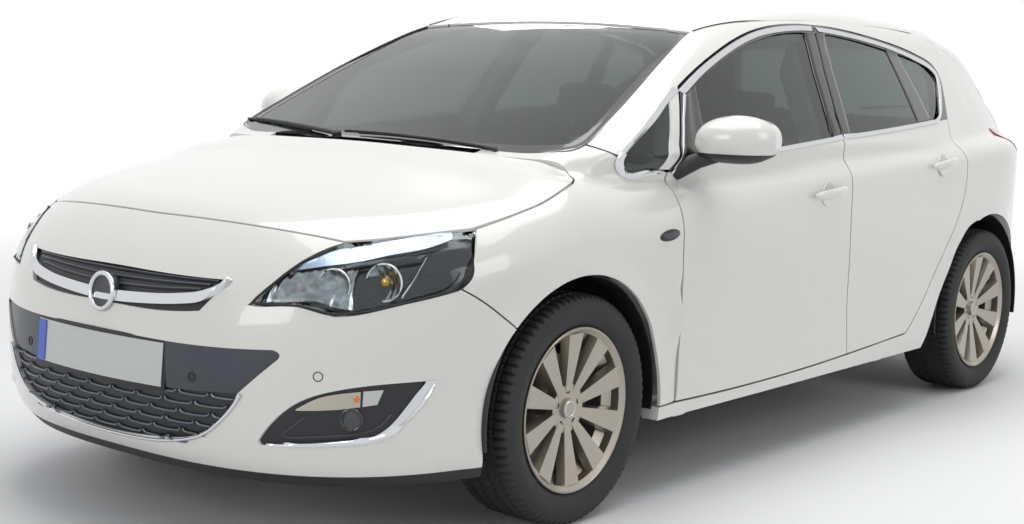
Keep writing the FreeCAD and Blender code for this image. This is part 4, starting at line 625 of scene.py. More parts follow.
def pad(name: str, low: Vector, high: Vector, crown: float, lean: float, body: str,
        waist: float = 0.0) -> None:
    """A sewn cushion: crowned faces, pulled-in sides and a channel across it.

    Args:
        name: piece name.
        low: lowest corner of its box.
        high: highest corner.
        crown: how far the main face swells.
        lean: backward lean per metre of height.
        body: the body it rides on.
        waist: how deep its sewn channels lie.
    """
    deselect()
    bpy.ops.mesh.primitive_cube_add(size=2)
    obj = bpy.context.object
    edit(obj, lambda: bpy.ops.mesh.subdivide(number_cuts=11))
    middle, half = (low + high) / 2, (high - low) / 2
    for vertex in obj.data.vertices:
        x, y, z = vertex.co
        pull = 1 - 0.05 * (1 - x * x) * (abs(y) > 0.99 or abs(z) > 0.99)
        round_off = 1 - 0.10 * (abs(x) ** 6 * abs(z) ** 6 + abs(x) ** 6 * abs(y) ** 6 + abs(y) ** 6
                                * abs(z) ** 6)
        swell = crown * (1 - x * x) * (1 - z * z if half.z > half.y else 1 - y * y)
        seam = waist * (math.exp(-((abs(x) - 0.55) / 0.05) ** 2)
                        + math.exp(-((z if half.z > half.y else y) / 0.05) ** 2))
        point = Vector((x * half.x, y * half.y, z * half.z)) * round_off
        if half.z > half.y:
            point.x *= pull
            point.y += (swell - seam) * y
        else:
            point.x *= pull
            point.z += (swell - seam) * z
        point += middle
        point.y += lean * (point.z - low.z)
        vertex.co = point
    modify(obj, "BEVEL", width=0.008, segments=3, limit_method="ANGLE", angle_limit=0.9)
    modify(obj, "SUBSURF", levels=1, render_levels=1)
    finish_piece(settle(obj, name), CLOTH, body, "fabric", 1.0)


class View(Enum):
    """The side a flat outline is seen from: the axis it looks along and the way out."""

    FRONT = (1, -1)
    BACK = (1, 1)
    LEFT = (0, 1)
    RIGHT = (0, -1)
    TOP = (2, 1)

    def point(self, a: float, b: float, depth: float) -> Vector:
        """A point from its two places in the view and its depth.

        Args:
            a: first place in the view.
            b: second place in the view.
            depth: place along the way one looks.

        Returns:
            The point.
        """
        axis = self.value[0]
        if axis == 0:
            return Vector((depth, a, b))
        if axis == 1:
            return Vector((a, depth, b))
        return Vector((a, b, depth))


class Surfaces:
    """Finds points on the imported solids, seen from the front, the side or the back."""

    ahead = -3.0
    beside = 2.0
    behind = 3.5
    above = 3.0
    outside = 4.0
    same = 0.0015
    edge_on = -0.02

    def __init__(self, frame: Dict[str, object]) -> None:
        """Keeps the solids and starts with no search trees."""
        self.nodes: Dict[str, bpy.types.Object] = frame["nodes"]
        self.trees: Dict[Tuple[str, ...], BVHTree] = {}

    def tree(self, names: Tuple[str, ...]) -> BVHTree:
        """The search tree over some nodes' meshes.

        Args:
            names: the nodes.

        Returns:
            Their tree, built once.
        """
        if names not in self.trees:
            corners: List[Vector] = []
            faces: List[Tuple[int, ...]] = []
            for name in names:
                start = len(corners)
                mesh = self.nodes[name].data
                corners += [vertex.co.copy() for vertex in mesh.vertices]
                faces += [tuple(start + i for i in face.vertices) for face in mesh.polygons]
            self.trees[names] = BVHTree.FromPolygons(corners, faces)
        return self.trees[names]

    def cast(self, names: Tuple[str, ...], start: Vector, heading: Vector,
             lift: float) -> Tuple[Vector, Vector]:
        """The first point met, lifted off the surface, and the surface's normal there.

        Args:
            names: the nodes that are looked at.
            start: where the ray starts.
            heading: the way it goes.
            lift: how far the point is moved off the surface.

        Returns:
            The point and the normal.
        """
        point, normal, _, _ = self.tree(names).ray_cast(start, heading)
        if point is None:
            point, normal, _, _ = self.tree(names).find_nearest(start + heading * 2.0)
        if normal.dot(heading) > 0:
            normal = -normal
        return point + normal * lift, normal

    def front(self, names: Tuple[str, ...], x: float, z: float, lift: float = 0.0) -> Vector:
        """A point seen from the front."""
        return self.cast(names, Vector((x, self.ahead, z)), Vector((0, 1, 0)), lift)[0]

    def side(self, names: Tuple[str, ...], sign: int, y: float, z: float,
             lift: float = 0.0) -> Vector:
        """A point seen from one side."""
        return self.cast(names, Vector((sign * self.beside, y, z)), Vector((-sign, 0, 0)), lift)[0]

    def back(self, names: Tuple[str, ...], x: float, z: float, lift: float = 0.0) -> Vector:
        """A point seen from behind."""
        return self.cast(names, Vector((x, self.behind, z)), Vector((0, -1, 0)), lift)[0]

    def top(self, names: Tuple[str, ...], x: float, y: float, lift: float = 0.0) -> Vector:
        """A point seen from above."""
        return self.cast(names, Vector((x, y, self.above)), Vector((0, 0, -1)), lift)[0]

    def skin(self, name: str, node: str, heading: Vector, thickness: float) -> bpy.types.Object:
        """The outer face of a solid as a thin shell.

        Args:
            name: piece name.
            node: the solid it is taken from.
            heading: the way one looks at that face.
            thickness: wall of the shell.

        Returns:
            The shell.
        """
        source = self.nodes[node]
        mesh = source.data.copy()
        obj = bpy.data.objects.new(name, mesh)
        bpy.context.scene.collection.objects.link(obj)
        mesh.materials.clear()
        edit(obj, lambda: bpy.ops.mesh.remove_doubles(threshold=MERGE_DISTANCE))
        tree = self.tree((node,))
        for face in obj.data.polygons:
            start = face.center - heading * self.above
            hit = tree.ray_cast(start, heading)[0]
            hidden = hit is None or (hit - face.center).length > self.same
            face.select = hidden or face.normal.dot(heading) > self.edge_on
        for rest in (obj.data.edges, obj.data.vertices):
            rest.foreach_set("select", [False] * len(rest))
        hold(obj)
        bpy.ops.object.mode_set(mode="EDIT")
        bpy.ops.mesh.select_mode(type="FACE")
        bpy.ops.mesh.delete(type="FACE")
        bpy.ops.object.mode_set(mode="OBJECT")
        modify(obj, "SOLIDIFY", thickness=thickness, offset=-1.0)
        return settle(obj, name)

    def depth(self, nodes: Tuple[str, ...], view: View, a: float, b: float) -> Optional[float]:
        """How far out the nodes' surface lies at a place of a view, or None beside them.

        Args:
            nodes: the solids.
            view: the side it is seen from.
            a: first place in the view.
            b: second place in the view.

        Returns:
            The place along the way one looks.
        """
        axis, out = view.value
        start, heading = view.point(a, b, self.outside * out), Vector((0, 0, 0))
        heading[axis] = -out
        point, _, _, _ = self.tree(nodes).ray_cast(start, heading)
        return None if point is None else point[axis]

    def sheet(self, nodes: Tuple[str, ...], view: View, first: Spots, second: Spots, along: int,
              across: int, lift: float, passes: int = 2) -> List[List[Vector]]:
        """Points between two lines, laid on the surface and smoothed along them.

        Args:
            nodes: the solids it lies on.
            view: the side it is seen from.
            first: one edge line.
            second: the other edge line.
            along: steps along the lines.
            across: steps between them.
            lift: how far out it is moved.
            passes: how often neighbours are averaged.

        Returns:
            Rows of points, one row for each step across.
        """
        out = view.value[1]
        rows, flats, found = [], [], {}
        for j in range(across + 1):
            share = j / max(1, across)
            flat = []
            for i in range(along + 1):
                a, b = blend_line(first, i / along), blend_line(second, i / along)
                flat.append((a[0] + (b[0] - a[0]) * share, a[1] + (b[1] - a[1]) * share))
                value = self.depth(nodes, view, *flat[-1])
                if value is not None:
                    found[i, j] = value
            flats.append(flat)
        for j, flat in enumerate(flats):
            nearest = [min(found, key=lambda k: 3 * abs(k[0] - i) + abs(k[1] - j))
                       if (i, j) not in found else (i, j) for i in range(along + 1)]
            depths = [found[key] for key in nearest]
            for _ in range(passes):
                depths = [(depths[max(0, n - 1)] + 2 * depths[n] + depths[min(along, n + 1)]) / 4
                          for n in range(len(depths))]
            rows.append([view.point(spot[0], spot[1], value + out * lift)
                         for spot, value in zip(flat, depths)])
        return rows

    def band(self, name: str, nodes: Tuple[str, ...], view: View, first: Spots, second: Spots,
             thickness: float, along: int = 48, across: int = 3, lift: float = -0.001,
             bevel: float = 0.0, passes: int = 2) -> bpy.types.Object:
        """A strip between two lines that lies on the surface and stands out by its thickness.

        Args:
            name: piece name.
            nodes: the solids it lies on.
            view: the side it is seen from.
            first: one edge line.
            second: the other edge line.
            thickness: how far it stands out.
            along: steps along the lines.
            across: steps between them.
            lift: how far out its back is moved.
            bevel: rounding of its edges.
            passes: how often neighbours are averaged.

        Returns:
            The strip.
        """
        rows = self.sheet(nodes, view, first, second, along, across, lift, passes)

        def place(u: float, v: float) -> Vector:
            """The point of the sheet at shares along and across it.

            Args:
                u: from 0 to 1 in the first direction.
                v: from 0 to 1 in the second direction.

            Returns:
                The point.
            """
            return rows[int(round(v * across))][int(round(u * along))]

        obj = patch(name, along, across, place)
        axis, out = view.value
        total = sum((face.normal * face.area for face in obj.data.polygons), Vector())
        if total[axis] * out < 0:
            edit(obj, bpy.ops.mesh.flip_normals)
        modify(obj, "SOLIDIFY", thickness=thickness, offset=1.0)
        if bevel:
            modify(obj, "BEVEL", width=bevel, segments=3, limit_method="ANGLE", angle_limit=0.7)
        return obj

    def line(self, nodes: Tuple[str, ...], view: View, spots: Spots, count: int, lift: float,
             passes: int = 3) -> List[Vector]:
        """A smoothed line on the surface.

        Args:
            nodes: the solids it lies on.
            view: the side it is seen from.
            spots: the line in the view.
            count: steps along it.
            lift: how far out it is moved.
            passes: how often neighbours are averaged.

        Returns:
            Its points.
        """
        return self.sheet(nodes, view, spots, spots, count, 0, lift, passes)[0]


def blend_line(points: Spots, share: float) -> Tuple[float, float]:
    """A point at a share of the length of a polyline of pairs.

    Args:
        points: the polyline.
        share: from 0 at its start to 1 at its end.

    Returns:
        The pair there.
    """
    lengths = [0.0]
    for a, b in zip(points, points[1:]):
        lengths.append(lengths[-1] + math.hypot(b[0] - a[0], b[1] - a[1]))
    want = share * lengths[-1]
    for n in range(1, len(points)):
        if want <= lengths[n] or n == len(points) - 1:
            part = (want - lengths[n - 1]) / max(1e-9, lengths[n] - lengths[n - 1])
            a, b = points[n - 1], points[n]
            return a[0] + (b[0] - a[0]) * part, a[1] + (b[1] - a[1]) * part
    return points[-1]


def rounded(points: Spots, steps: int = 6) -> List[Tuple[float, float]]:
    """A smooth line through points, as drawn with a spline.

    Args:
        points: the points it goes through.
        steps: points for each stretch.

    Returns:
        The line.
    """
    held = [points[0]] + list(points) + [points[-1]]
    made = []
    for n in range(1, len(held) - 2):
        p, q, r, s = held[n - 1:n + 3]
        for k in range(steps):
            t = k / steps
            made.append(tuple(0.5 * (2 * q[i] + (r[i] - p[i]) * t
                                     + (2 * p[i] - 5 * q[i] + 4 * r[i] - s[i]) * t * t
                                     + (3 * q[i] - p[i] - 3 * r[i] + s[i]) * t ** 3)
                              for i in (0, 1)))
    made.append(points[-1])
    return made


def both_halves(points: Spots) -> List[Tuple[float, float]]:
    """A line that starts on the centre plane, with its mirror image before it."""
    return [(-a, b) for a, b in reversed(points[1:])] + list(points)


def turned(sign: int, points: Spots) -> List[Tuple[float, float]]:
    """A line of the left half, on the side of its sign."""
    return [(sign * a, b) for a, b in points]


def on_side(points: Spots) -> List[Tuple[float, float]]:
    """Shares along the wheelbase and of the height turned into metres."""
    return [(station(a), b * HEIGHT) for a, b in points]


def hoop(centre: Vector, normal: Vector, radius: float, count: int = 40) -> List[Vector]:
    """Points on a circle round an axis.

    Args:
        centre: its middle.
        normal: the axis.
        radius: its radius.
        count: how many points.

    Returns:
        The points in order.
    """
    normal = normal.normalized()
    side = normal.cross(Vector((0, 0, 1))).normalized()
    rise = side.cross(normal)
    turns = [math.tau * n / count for n in range(count)]
    return [centre + side * (radius * math.cos(a)) + rise * (radius * math.sin(a)) for a in turns]


@dataclass
class Wheels:
    """Tyres with their tread, and the bolts, cap and bright rings of each wheel."""

    steps: int = 320
    track_front: float = 1.541
    track_rear: float = 1.551
    inner_radius: float = 0.3110
    groove_floor: float = 0.3165
    rib_floor: float = 0.320
    block_depths: Spot = (0.0075, 0.0065, 0.0045)
    bolts: int = 5
    shoulder: float = 0.05
    hub_out: float = 0.0635
    bolt_circle: float = 0.0525
    bolt_radius: float = 0.0085
    cap_rise: float = 0.0085
    cap_radius: float = 0.0285
    cap_ring: float = 0.0215
    edge_out: float = 0.0945
    edge_radius: float = 0.2275
    profile: Spots = (
        (0.062, 0.2193), (0.084, 0.2200), (0.0845, 0.2315), (0.096, 0.2420), (0.1035, 0.2560),
        (0.1072, 0.2750), (0.1070, 0.2860), (0.1040, 0.3010), (0.0985, 0.3120), (0.0930, 0.3175),
        (0.0800, 0.3215), (0.0665, 0.3224), (0.0640, 0.3155), (0.0560, 0.3155), (0.0535, 0.3228),
        (0.0290, 0.3232), (0.0265, 0.3155), (0.0185, 0.3155), (0.0160, 0.3233), (0.0, 0.3234))

    def build(self) -> None:
        """Builds each tyre and its wheel's details."""
        for end, y, track in (("front", FRONT_AXLE, self.track_front),
                              ("rear", REAR_AXLE, self.track_rear)):
            for side, sign in SIDES:
                middle = Vector((sign * track / 2, y, AXLE_HEIGHT))
                self.tyre("%s_%s" % (end, side), middle)
                self.details("%s_%s" % (end, side), middle, sign)
        LOG.info("wheels built")

    def tyre(self, name: str, middle: Vector) -> None:
        """One tyre: a ring of blocks, grooves and sidewalls.

        Args:
            name: end and side of the wheel.
            middle: the wheel's centre.
        """
        line = list(self.profile) + [(-a, r) for a, r in reversed(self.profile[:-1])]
        line.append((0.0, self.inner_radius))
        line.append(line[0])
        count = len(line) - 1

        def place(u: float, v: float) -> Vector:
            """The point of the tread at shares across and round it.

            Args:
                u: from 0 to 1 in the first direction.
                v: from 0 to 1 in the second direction.

            Returns:
                The point.
            """
            n = min(count, int(round(u * count)))
            step = int(round(v * self.steps)) % self.steps
            a, r = line[n]
            shifted = step + (1 if a > 0 else 0)
            if r > self.groove_floor and abs(a) > self.shoulder and shifted % 4 == 0:
                r -= self.block_depths[0]
            elif r > self.rib_floor and abs(a) < self.shoulder and (shifted + 2) % 4 == 0:
                r -= self.block_depths[1]
            elif 0.300 < r <= self.groove_floor and abs(a) > 0.09 and shifted % 4 == 0:
                r -= self.block_depths[2]
            angle = math.tau * step / self.steps
            return middle + Vector((a, r * math.sin(angle), r * math.cos(angle)))

        obj = patch("tyre_dressed_" + name, count, self.steps, place, merge=True)
        finish_piece(obj, RUBBER, "wheel_" + name, "tyre", 0.5)
        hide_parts("tyre_" + name)

    def circle(self, centre: Vector, radius: float, count: int, start: float = 0.0) -> List[Vector]:
        """Points on a circle round the axle.

        Args:
            centre: its middle.
            radius: its radius.
            count: how many points.
            start: angle of the first one.

        Returns:
            The points in order.
        """
        turns = [math.tau * n / count + start for n in range(count)]
        return [centre + Vector((0, radius * math.cos(a), radius * math.sin(a))) for a in turns]

    def details(self, name: str, middle: Vector, sign: int) -> None:
        """Bolts, cap, cap ring and rim edge ring of one wheel.

        Args:
            name: end and side of the wheel.
            middle: the wheel's centre.
            sign: 1 on the left, -1 on the right.
        """
        outward = Vector((sign, 0, 0))
        face = middle + outward * self.hub_out
        body = "wheel_" + name
        for n, spot in enumerate(self.circle(face, self.bolt_circle, self.bolts, math.pi / 2)):
            bolt = basin("bolt_%s_%d" % (name, n), spot - outward * 0.002, outward,
                         self.bolt_radius, 0.010, ((0.0025, -0.003),), 6)
            finish_piece(bolt, CHROME, body, "alloy")
        crest = face + outward * self.cap_rise
        cap = basin("cap_" + name, crest, outward, self.cap_radius, 0.006,
                    ((0.004, -0.0012), (0.002, 0.0016)), 40)
        finish_piece(cap, ALLOY, body, "alloy")
        ring = self.circle(crest, self.cap_ring, 36)
        finish_piece(tube("cap_ring_" + name, ring, 0.0014, closed=True), CHROME, body, "alloy")
        rim = self.circle(middle + outward * self.edge_out, self.edge_radius, 96)
        finish_piece(tube("rim_edge_" + name, rim, 0.0022, closed=True), ALLOY, body, "alloy")


@dataclass
class Nose:
    """Grilles, plate, lamps and trim at the front, seen from the front as (x, z) in metres."""

    find: Surfaces
    bar_depth: float = 0.017
    bar_top: Spots = (
        (0.0, 0.6465), (0.071, 0.648), (0.152, 0.652), (0.227, 0.657), (0.295, 0.665),
        (0.332, 0.6715), (0.365, 0.683), (0.390, 0.698), (0.410, 0.712))
    bar_bottom: Spots = (
        (0.0, 0.6195), (0.081, 0.622), (0.161, 0.627), (0.236, 0.633), (0.304, 0.641),
        (0.340, 0.6475), (0.372, 0.661), (0.397, 0.683), (0.4125, 0.7105))
    slats: Tuple[Spots, ...] = (
        ((0.0, 0.664), (0.102, 0.668), (0.218, 0.673), (0.330, 0.681)),
        ((0.0, 0.683), (0.090, 0.685), (0.208, 0.688), (0.352, 0.693)),
        ((0.0, 0.700), (0.120, 0.7005), (0.240, 0.7015), (0.372, 0.7035)))
    mouth: Spots = (
        (0.0, 0.2700), (0.10, 0.2725), (0.21, 0.2800), (0.310, 0.2985), (0.375, 0.3225),
        (0.425, 0.3620), (0.458, 0.3990), (0.482, 0.4360))
    gasket: Spots = (
        (0.600, 0.803), (0.548, 0.763), (0.512, 0.708), (0.478, 0.659), (0.544, 0.659),
        (0.590, 0.660), (0.630, 0.650), (0.668, 0.640), (0.726, 0.650), (0.766, 0.666),
        (0.806, 0.683), (0.830, 0.697), (0.838, 0.728), (0.834, 0.750))
    fog_inner: Spots = (
        (0.530, 0.3150), (0.608, 0.3190), (0.672, 0.3250), (0.716, 0.3330), (0.737, 0.3450),
        (0.754, 0.3700), (0.770, 0.4100), (0.783, 0.4460), (0.795, 0.4720))
    fog_outer: Spots = (
        (0.530, 0.3090), (0.638, 0.3125), (0.709, 0.3180), (0.739, 0.3270), (0.763, 0.3430),
        (0.780, 0.3760), (0.794, 0.4120), (0.804, 0.4490), (0.8085, 0.4740))
    badge_place: Spot = (0, -2.1985, 0.6445)
    badge_radius: float = 0.0465
    scale_rows: int = 6
    scale_floor: float = 0.2905
    scale_rise: float = 0.0258
    scale_pitch: float = 0.098
    scale_half: float = 0.0455
    scale_bow: Spots = (
        (-1.0, 0.0085), (-0.9, 0.0025), (-0.75, 0.0003), (0.0, -0.001), (0.75, 0.0003),
        (0.9, 0.0025), (1.0, 0.0085))
    plate_place: Spot = (-0.012, -2.2155, 0.484)
    plate_size: Tuple[float, float] = (0.52, 0.112)
    plate_frame: Tuple[float, float] = (0.536, 0.132)
    plate_bow: float = 0.30
    plate_lean: float = 0.07
    shelf_low: Spots = (
        (0.545, 0.742), (0.604, 0.755), (0.662, 0.767), (0.708, 0.784), (0.751, 0.798),
        (0.778, 0.822))
    shelf_top: Spots = (
        (0.545, 0.764), (0.593, 0.789), (0.638, 0.800), (0.677, 0.813), (0.721, 0.826),
        (0.762, 0.838))
    gasket_middle: Tuple[float, float] = (0.660, 0.750)
    gasket_shrink: Tuple[float, float] = (0.968, 0.962)
    sensors: Tuple[Tuple[str, float, float], ...] = (
        ("inner", 0.340, 0.464), ("outer", 0.645, 0.491))
    ridged_low: Spots = (
        (0.490, 0.664), (0.560, 0.667), (0.612, 0.672), (0.650, 0.660), (0.690, 0.653))
    ridged_top: Spots = (
        (0.494, 0.690), (0.520, 0.728), (0.560, 0.742), (0.604, 0.752), (0.664, 0.763))
    brow_low: Spots = ((0.640, 0.750), (0.700, 0.764), (0.762, 0.776))
    brow_top: Spots = ((0.640, 0.758), (0.702, 0.774), (0.768, 0.786))
    bowls: Tuple[Spot, ...] = ((0.643, 0.710, 0.043), (0.727, 0.720, 0.047))
    fin: Spots = ((0.766, 0.778), (0.770, 0.728), (0.762, 0.684))
    ledge: Spots = (
        (0.618, 0.389), (0.590, 0.361), (0.569, 0.335), (0.636, 0.337), (0.706, 0.345),
        (0.736, 0.361), (0.753, 0.392))
    fog_radius: float = 0.0245
    strip_low: Spots = ((0.596, 0.4030), (0.638, 0.4040), (0.674, 0.4070), (0.710, 0.4125))
    strip_high: Spots = ((0.600, 0.4080), (0.639, 0.4350), (0.675, 0.4465), (0.712, 0.4520))

    def build(self) -> None:
        """Builds each piece of the nose."""
        self.upper_grille()
        self.badge()
        self.lower_grille()
        self.plate()
        self.headlamps()
        self.fog_lamps()
        LOG.info("nose built")

    def upper_grille(self) -> None:
        """Dark slats with painted highlight strips along their top edges behind a tapering chrome
        bar with curled ends.
        """
        nodes = ("upper_grille", "front_bumper")
        for row, run in enumerate(self.slats):
            line = self.find.line(nodes, View.FRONT, both_halves(run), 48, 0.002)
            finish_piece(tube("grille_slat_%d" % row, line, 0.0042), BLACK_PLASTIC, "car_body",
                         "black_plastic")
            # A lighter strip on the top front of each dark slat: a painted highlight where the slat
            # catches the sky.
            edge = [point + Vector((0, -0.0032, 0.0030)) for point in line]
            finish_piece(tube("grille_slat_edge_%d" % row, edge, 0.0012), GRILLE_GREY_AND_HIGHLIGHT, "car_body",
                         "black_plastic")
        bar = self.find.band("grille_chrome_bar", nodes, View.FRONT,
                             both_halves(rounded(self.bar_top)),
                             both_halves(rounded(self.bar_bottom)), self.bar_depth, 96, 4, 0.0,
                             0.006, 4)
        finish_piece(bar, CHROME, "car_body", "black_plastic", 0.9)

    def badge(self) -> None:
        """A plain ring before a dark disc on a short pedestal."""
        centre, aim = Vector(self.badge_place), Vector((0, -1, 0.12)).normalized()
        ring = tube("badge_ring", hoop(centre, aim, self.badge_radius, 56), 0.0068, closed=True)
        finish_piece(ring, CHROME, "car_body", "black_plastic", 1.0)
        disc = basin("badge_disc", centre + aim * 0.001, aim, 0.046, 0.030,
                     ((0.004, -0.003), (0.012, -0.002)), 48)
        finish_piece(disc, GREY_PANEL, "car_body", "black_plastic")

    def lower_grille(self) -> None:
        """Staggered shallow bars like scales, and a chrome line along the mouth's lower edge."""
        nodes = ("lower_grille", "front_bumper")
        for row in range(self.scale_rows):
            z = self.scale_floor + row * self.scale_rise
            reach = max(a for a, b in rounded(self.mouth) if b <= z + 0.012) - 0.010
            for n in range(-6, 7):
                x = (n + 0.5 * (row % 2)) * self.scale_pitch
                places = [(min(reach, max(-reach, x + s * self.scale_half)), z + h)
                          for s, h in self.scale_bow]
                if abs(x) - 0.020 > reach:
                    continue
                line = self.find.line(nodes, View.FRONT, places, 12, 0.004, 1)
                bar = tube("scale_bar_%d_%d" % (row, n + 6), line, 0.0030)
                finish_piece(bar, GRILLE_GREY_AND_HIGHLIGHT, "car_body", "black_plastic")
        line = self.find.line(nodes, View.FRONT, both_halves(rounded(self.mouth)), 90, 0.0035, 6)
        finish_piece(tube("lower_chrome_line", line, 0.0042), CHROME, "car_body", "black_plastic")

    def plate(self) -> None:
        """A blank number plate in its black frame, and the parking sensors beside it."""
        def sheet(width: float, height: float, out: float) -> Place:
            """A bowed sheet of a width and height, set forward by a distance.

            Args:
                width: its width.
                height: its height.
                out: how far forward it is set.

            Returns:
                What gives its points.
            """
            def place(u: float, v: float) -> Vector:
                """The point at shares across and up the sheet.

                Args:
                    u: from 0 to 1 in the first direction.
                    v: from 0 to 1 in the second direction.

                Returns:
                    The point.
                """
                x = (u - 0.5) * width
                shift, front, middle = self.plate_place
                rise = (v - 0.5) * height
                return Vector((x + shift,
                               front + self.plate_bow * x * x - out + self.plate_lean * rise,
                               middle + rise))
            return place

        frame = patch("plate_frame", 24, 4, sheet(*self.plate_frame, 0.0), -0.014, 0.002)
        finish_piece(frame, BLACK_PLASTIC, "car_body", "black_plastic")
        blank = patch("plate_blank", 24, 4, sheet(*self.plate_size, 0.0045), -0.003, 0.001)
        finish_piece(blank, PLATE, "car_body", "paint")
        inner = sheet(*self.plate_size, 0.0055)
        band = patch("plate_band", 4, 4,
                     lambda u, v: inner(0.004 + 0.075 * (1 - u), v * 0.96 + 0.02), -0.002)
        finish_piece(band, BLUE_BAND, "car_body", "paint")
        for side, sign in SIDES:
            for (label, x, z), finish in zip(self.sensors, (BLACK_PLASTIC, PAINT)):
                spot, normal = self.find.cast(("bumper_panel", "front_bumper"),
                                              Vector((sign * x, self.find.ahead, z)),
                                              Vector((0, 1, 0)), 0.0005)
                disc = basin("sensor_%s_%s" % (label, side), spot, normal, 0.0105, 0.004,
                             ((0.002, -0.0004),), 24)
                finish_piece(disc, finish, "car_body", "grey_panel")
                edge = tube("sensor_edge_%s_%s" % (label, side), hoop(spot, normal, 0.0115, 28),
                            0.0012, closed=True)
                finish_piece(edge, SEAL, "car_body", "grey_panel")

    def headlamps(self) -> None:
        """Clear covers over dark housings with ridged reflectors, two bowls whose bulb caps carry a
        painted gold glint, and a shelf painted pale blue as a sky reflection.
        """
        cover = self.find.skin("headlamp_cover", "headlamps", Vector((0, 1, 0)), 0.003)
        finish_piece(cover, LENS, "car_body", "lamp_clear", 1.0)
        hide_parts("headlamps")
        housing = self.find.skin("headlamp_housing", "headlamps", Vector((0, 1, 0)), 0.002)
        for vertex in housing.data.vertices:
            vertex.co += Vector((-0.012 if vertex.co.x > 0 else 0.012, 0.036, 0))
        finish_piece(housing, GLOSS_BLACK, "car_body", "black_plastic", 1.0)
        nodes = ("headlamps",)
        # The shelf's pale blue colour is a painted sky reflection.
        parts = (("shelf", rounded(self.shelf_low), rounded(self.shelf_top), -0.008, SHELF_PAINTED_SKY),
                 ("ridged", rounded(self.ridged_low), rounded(self.ridged_top), -0.022, REFLECTOR),
                 ("bar", self.brow_low, self.brow_top, -0.009, GLOSS_BLACK))
        for side, sign in SIDES:
            for label, low, high, lift, finish in parts:
                piece = self.find.band("lamp_%s_%s" % (label, side), nodes, View.FRONT,
                                       turned(sign, low), turned(sign, high), 0.002, 32, 3, lift,
                                       0.0, 4)
                finish_piece(piece, finish, "car_body", "lamp_clear", 1.0)
            for n, (x, z, r) in enumerate(self.bowls):
                aim = Vector((sign * 0.42, -1, 0.05)).normalized()
                spot = self.find.front(nodes, sign * x, z) - aim * 0.022
                bowl = basin("lamp_bowl_%s_%d" % (side, n), spot, aim, r, 0.022,
                             ((0.003, -0.001), (r * 0.35, -0.009), (r * 0.25, -0.009)), 40)
                finish_piece(bowl, REFLECTOR, "car_body", "lamp_clear")
                # The bulb cap's gold colour is a painted glint.
                bulb = basin("lamp_bulb_%s_%d" % (side, n), spot - aim * 0.006, aim, r * 0.26,
                             0.014, ((0.002, 0.002), (0.003, 0.002)), 24)
                finish_piece(bulb, BULB_CAP_PAINTED_GLINT, "car_body", "lamp_clear")
                rim = tube("lamp_rim_%s_%d" % (side, n), hoop(spot, aim, r, 40), 0.0026,
                           closed=True)
                finish_piece(rim, CHROME, "car_body", "lamp_clear")
            (x0, z0), (wide, tall) = self.gasket_middle, self.gasket_shrink
            rim = [(x0 + wide * (a - x0), z0 + tall * (b - z0)) for a, b in self.gasket]
            edge = self.find.line(nodes, View.FRONT, turned(sign, rim), 90, -0.0005, 4)
            finish_piece(tube("lamp_gasket_" + side, edge, 0.0034), SEAL, "car_body",
                         "black_plastic")
            fin = self.find.line(nodes, View.FRONT, turned(sign, rounded(self.fin)), 16, -0.009)
            finish_piece(tube("lamp_fin_" + side, fin, 0.0028), CHROME, "car_body", "lamp_clear")

    def fog_lamps(self) -> None:
        """A round lamp, a strip lamp with an amber spot, a ledge and a blade on each side."""
        nodes = ("fog_lamps", "front_bumper")
        for side, sign in SIDES:
            lamp = self.find.band("strip_lamp_" + side, ("fog_lamps",), View.FRONT,
                                  turned(sign, self.strip_low),
                                  turned(sign, rounded(self.strip_high)), 0.004, 30, 4, 0.0, 0.001)
            finish_piece(lamp, PRISM, "car_body", "lamp_clear", 1.0)
            end = self.find.band("strip_lamp_end_" + side, ("fog_lamps",), View.FRONT,
                                 turned(sign, ((0.7115, 0.4127), (0.7345, 0.4175))),
                                 turned(sign, ((0.7135, 0.4523), (0.7440, 0.4545))),
                                 0.0035, 8, 4, 0.0, 0.001)
            finish_piece(end, PLATE, "car_body", "lamp_clear", 1.0)
            aim = Vector((sign * 0.75, -1, 0)).normalized()
            spot = self.find.front(("fog_lamps",), sign * 0.704, 0.433)
            amber = basin("strip_lamp_amber_" + side, spot + aim * 0.0052, aim, 0.0085, 0.005,
                          ((0.003, 0.001),), 24)
            finish_piece(amber, AMBER, "car_body", "lamp_clear")
            spot = self.find.front(("fog_lamps",), sign * 0.695, 0.381)
            lamp = basin("fog_bowl_" + side, spot + aim * 0.004, aim, self.fog_radius, 0.012,
                         ((0.003, -0.001), (0.009, 0.002)), 36)
            finish_piece(lamp, SMOKED, "car_body", "lamp_clear")
            rim = tube("fog_rim_" + side, hoop(spot + aim * 0.004, aim, 0.0265, 36), 0.0035,
                       closed=True)
            finish_piece(rim, GLOSS_BLACK, "car_body", "black_plastic")
            line = self.find.line(("fog_lamps",), View.FRONT, turned(sign, rounded(self.ledge)), 40,
                                  0.001)
            finish_piece(tube("fog_ledge_" + side, line, 0.0026), GREY_PANEL, "car_body",
                         "black_plastic")
            blade = self.find.band("fog_blade_" + side, nodes, View.FRONT,
                                   turned(sign, rounded(self.fog_inner)),
                                   turned(sign, rounded(self.fog_outer)), 0.0055, 60, 3, 0.0,
                                   0.0018, 5)
            finish_piece(blade, CHROME, "car_body", "black_plastic", 0.9)


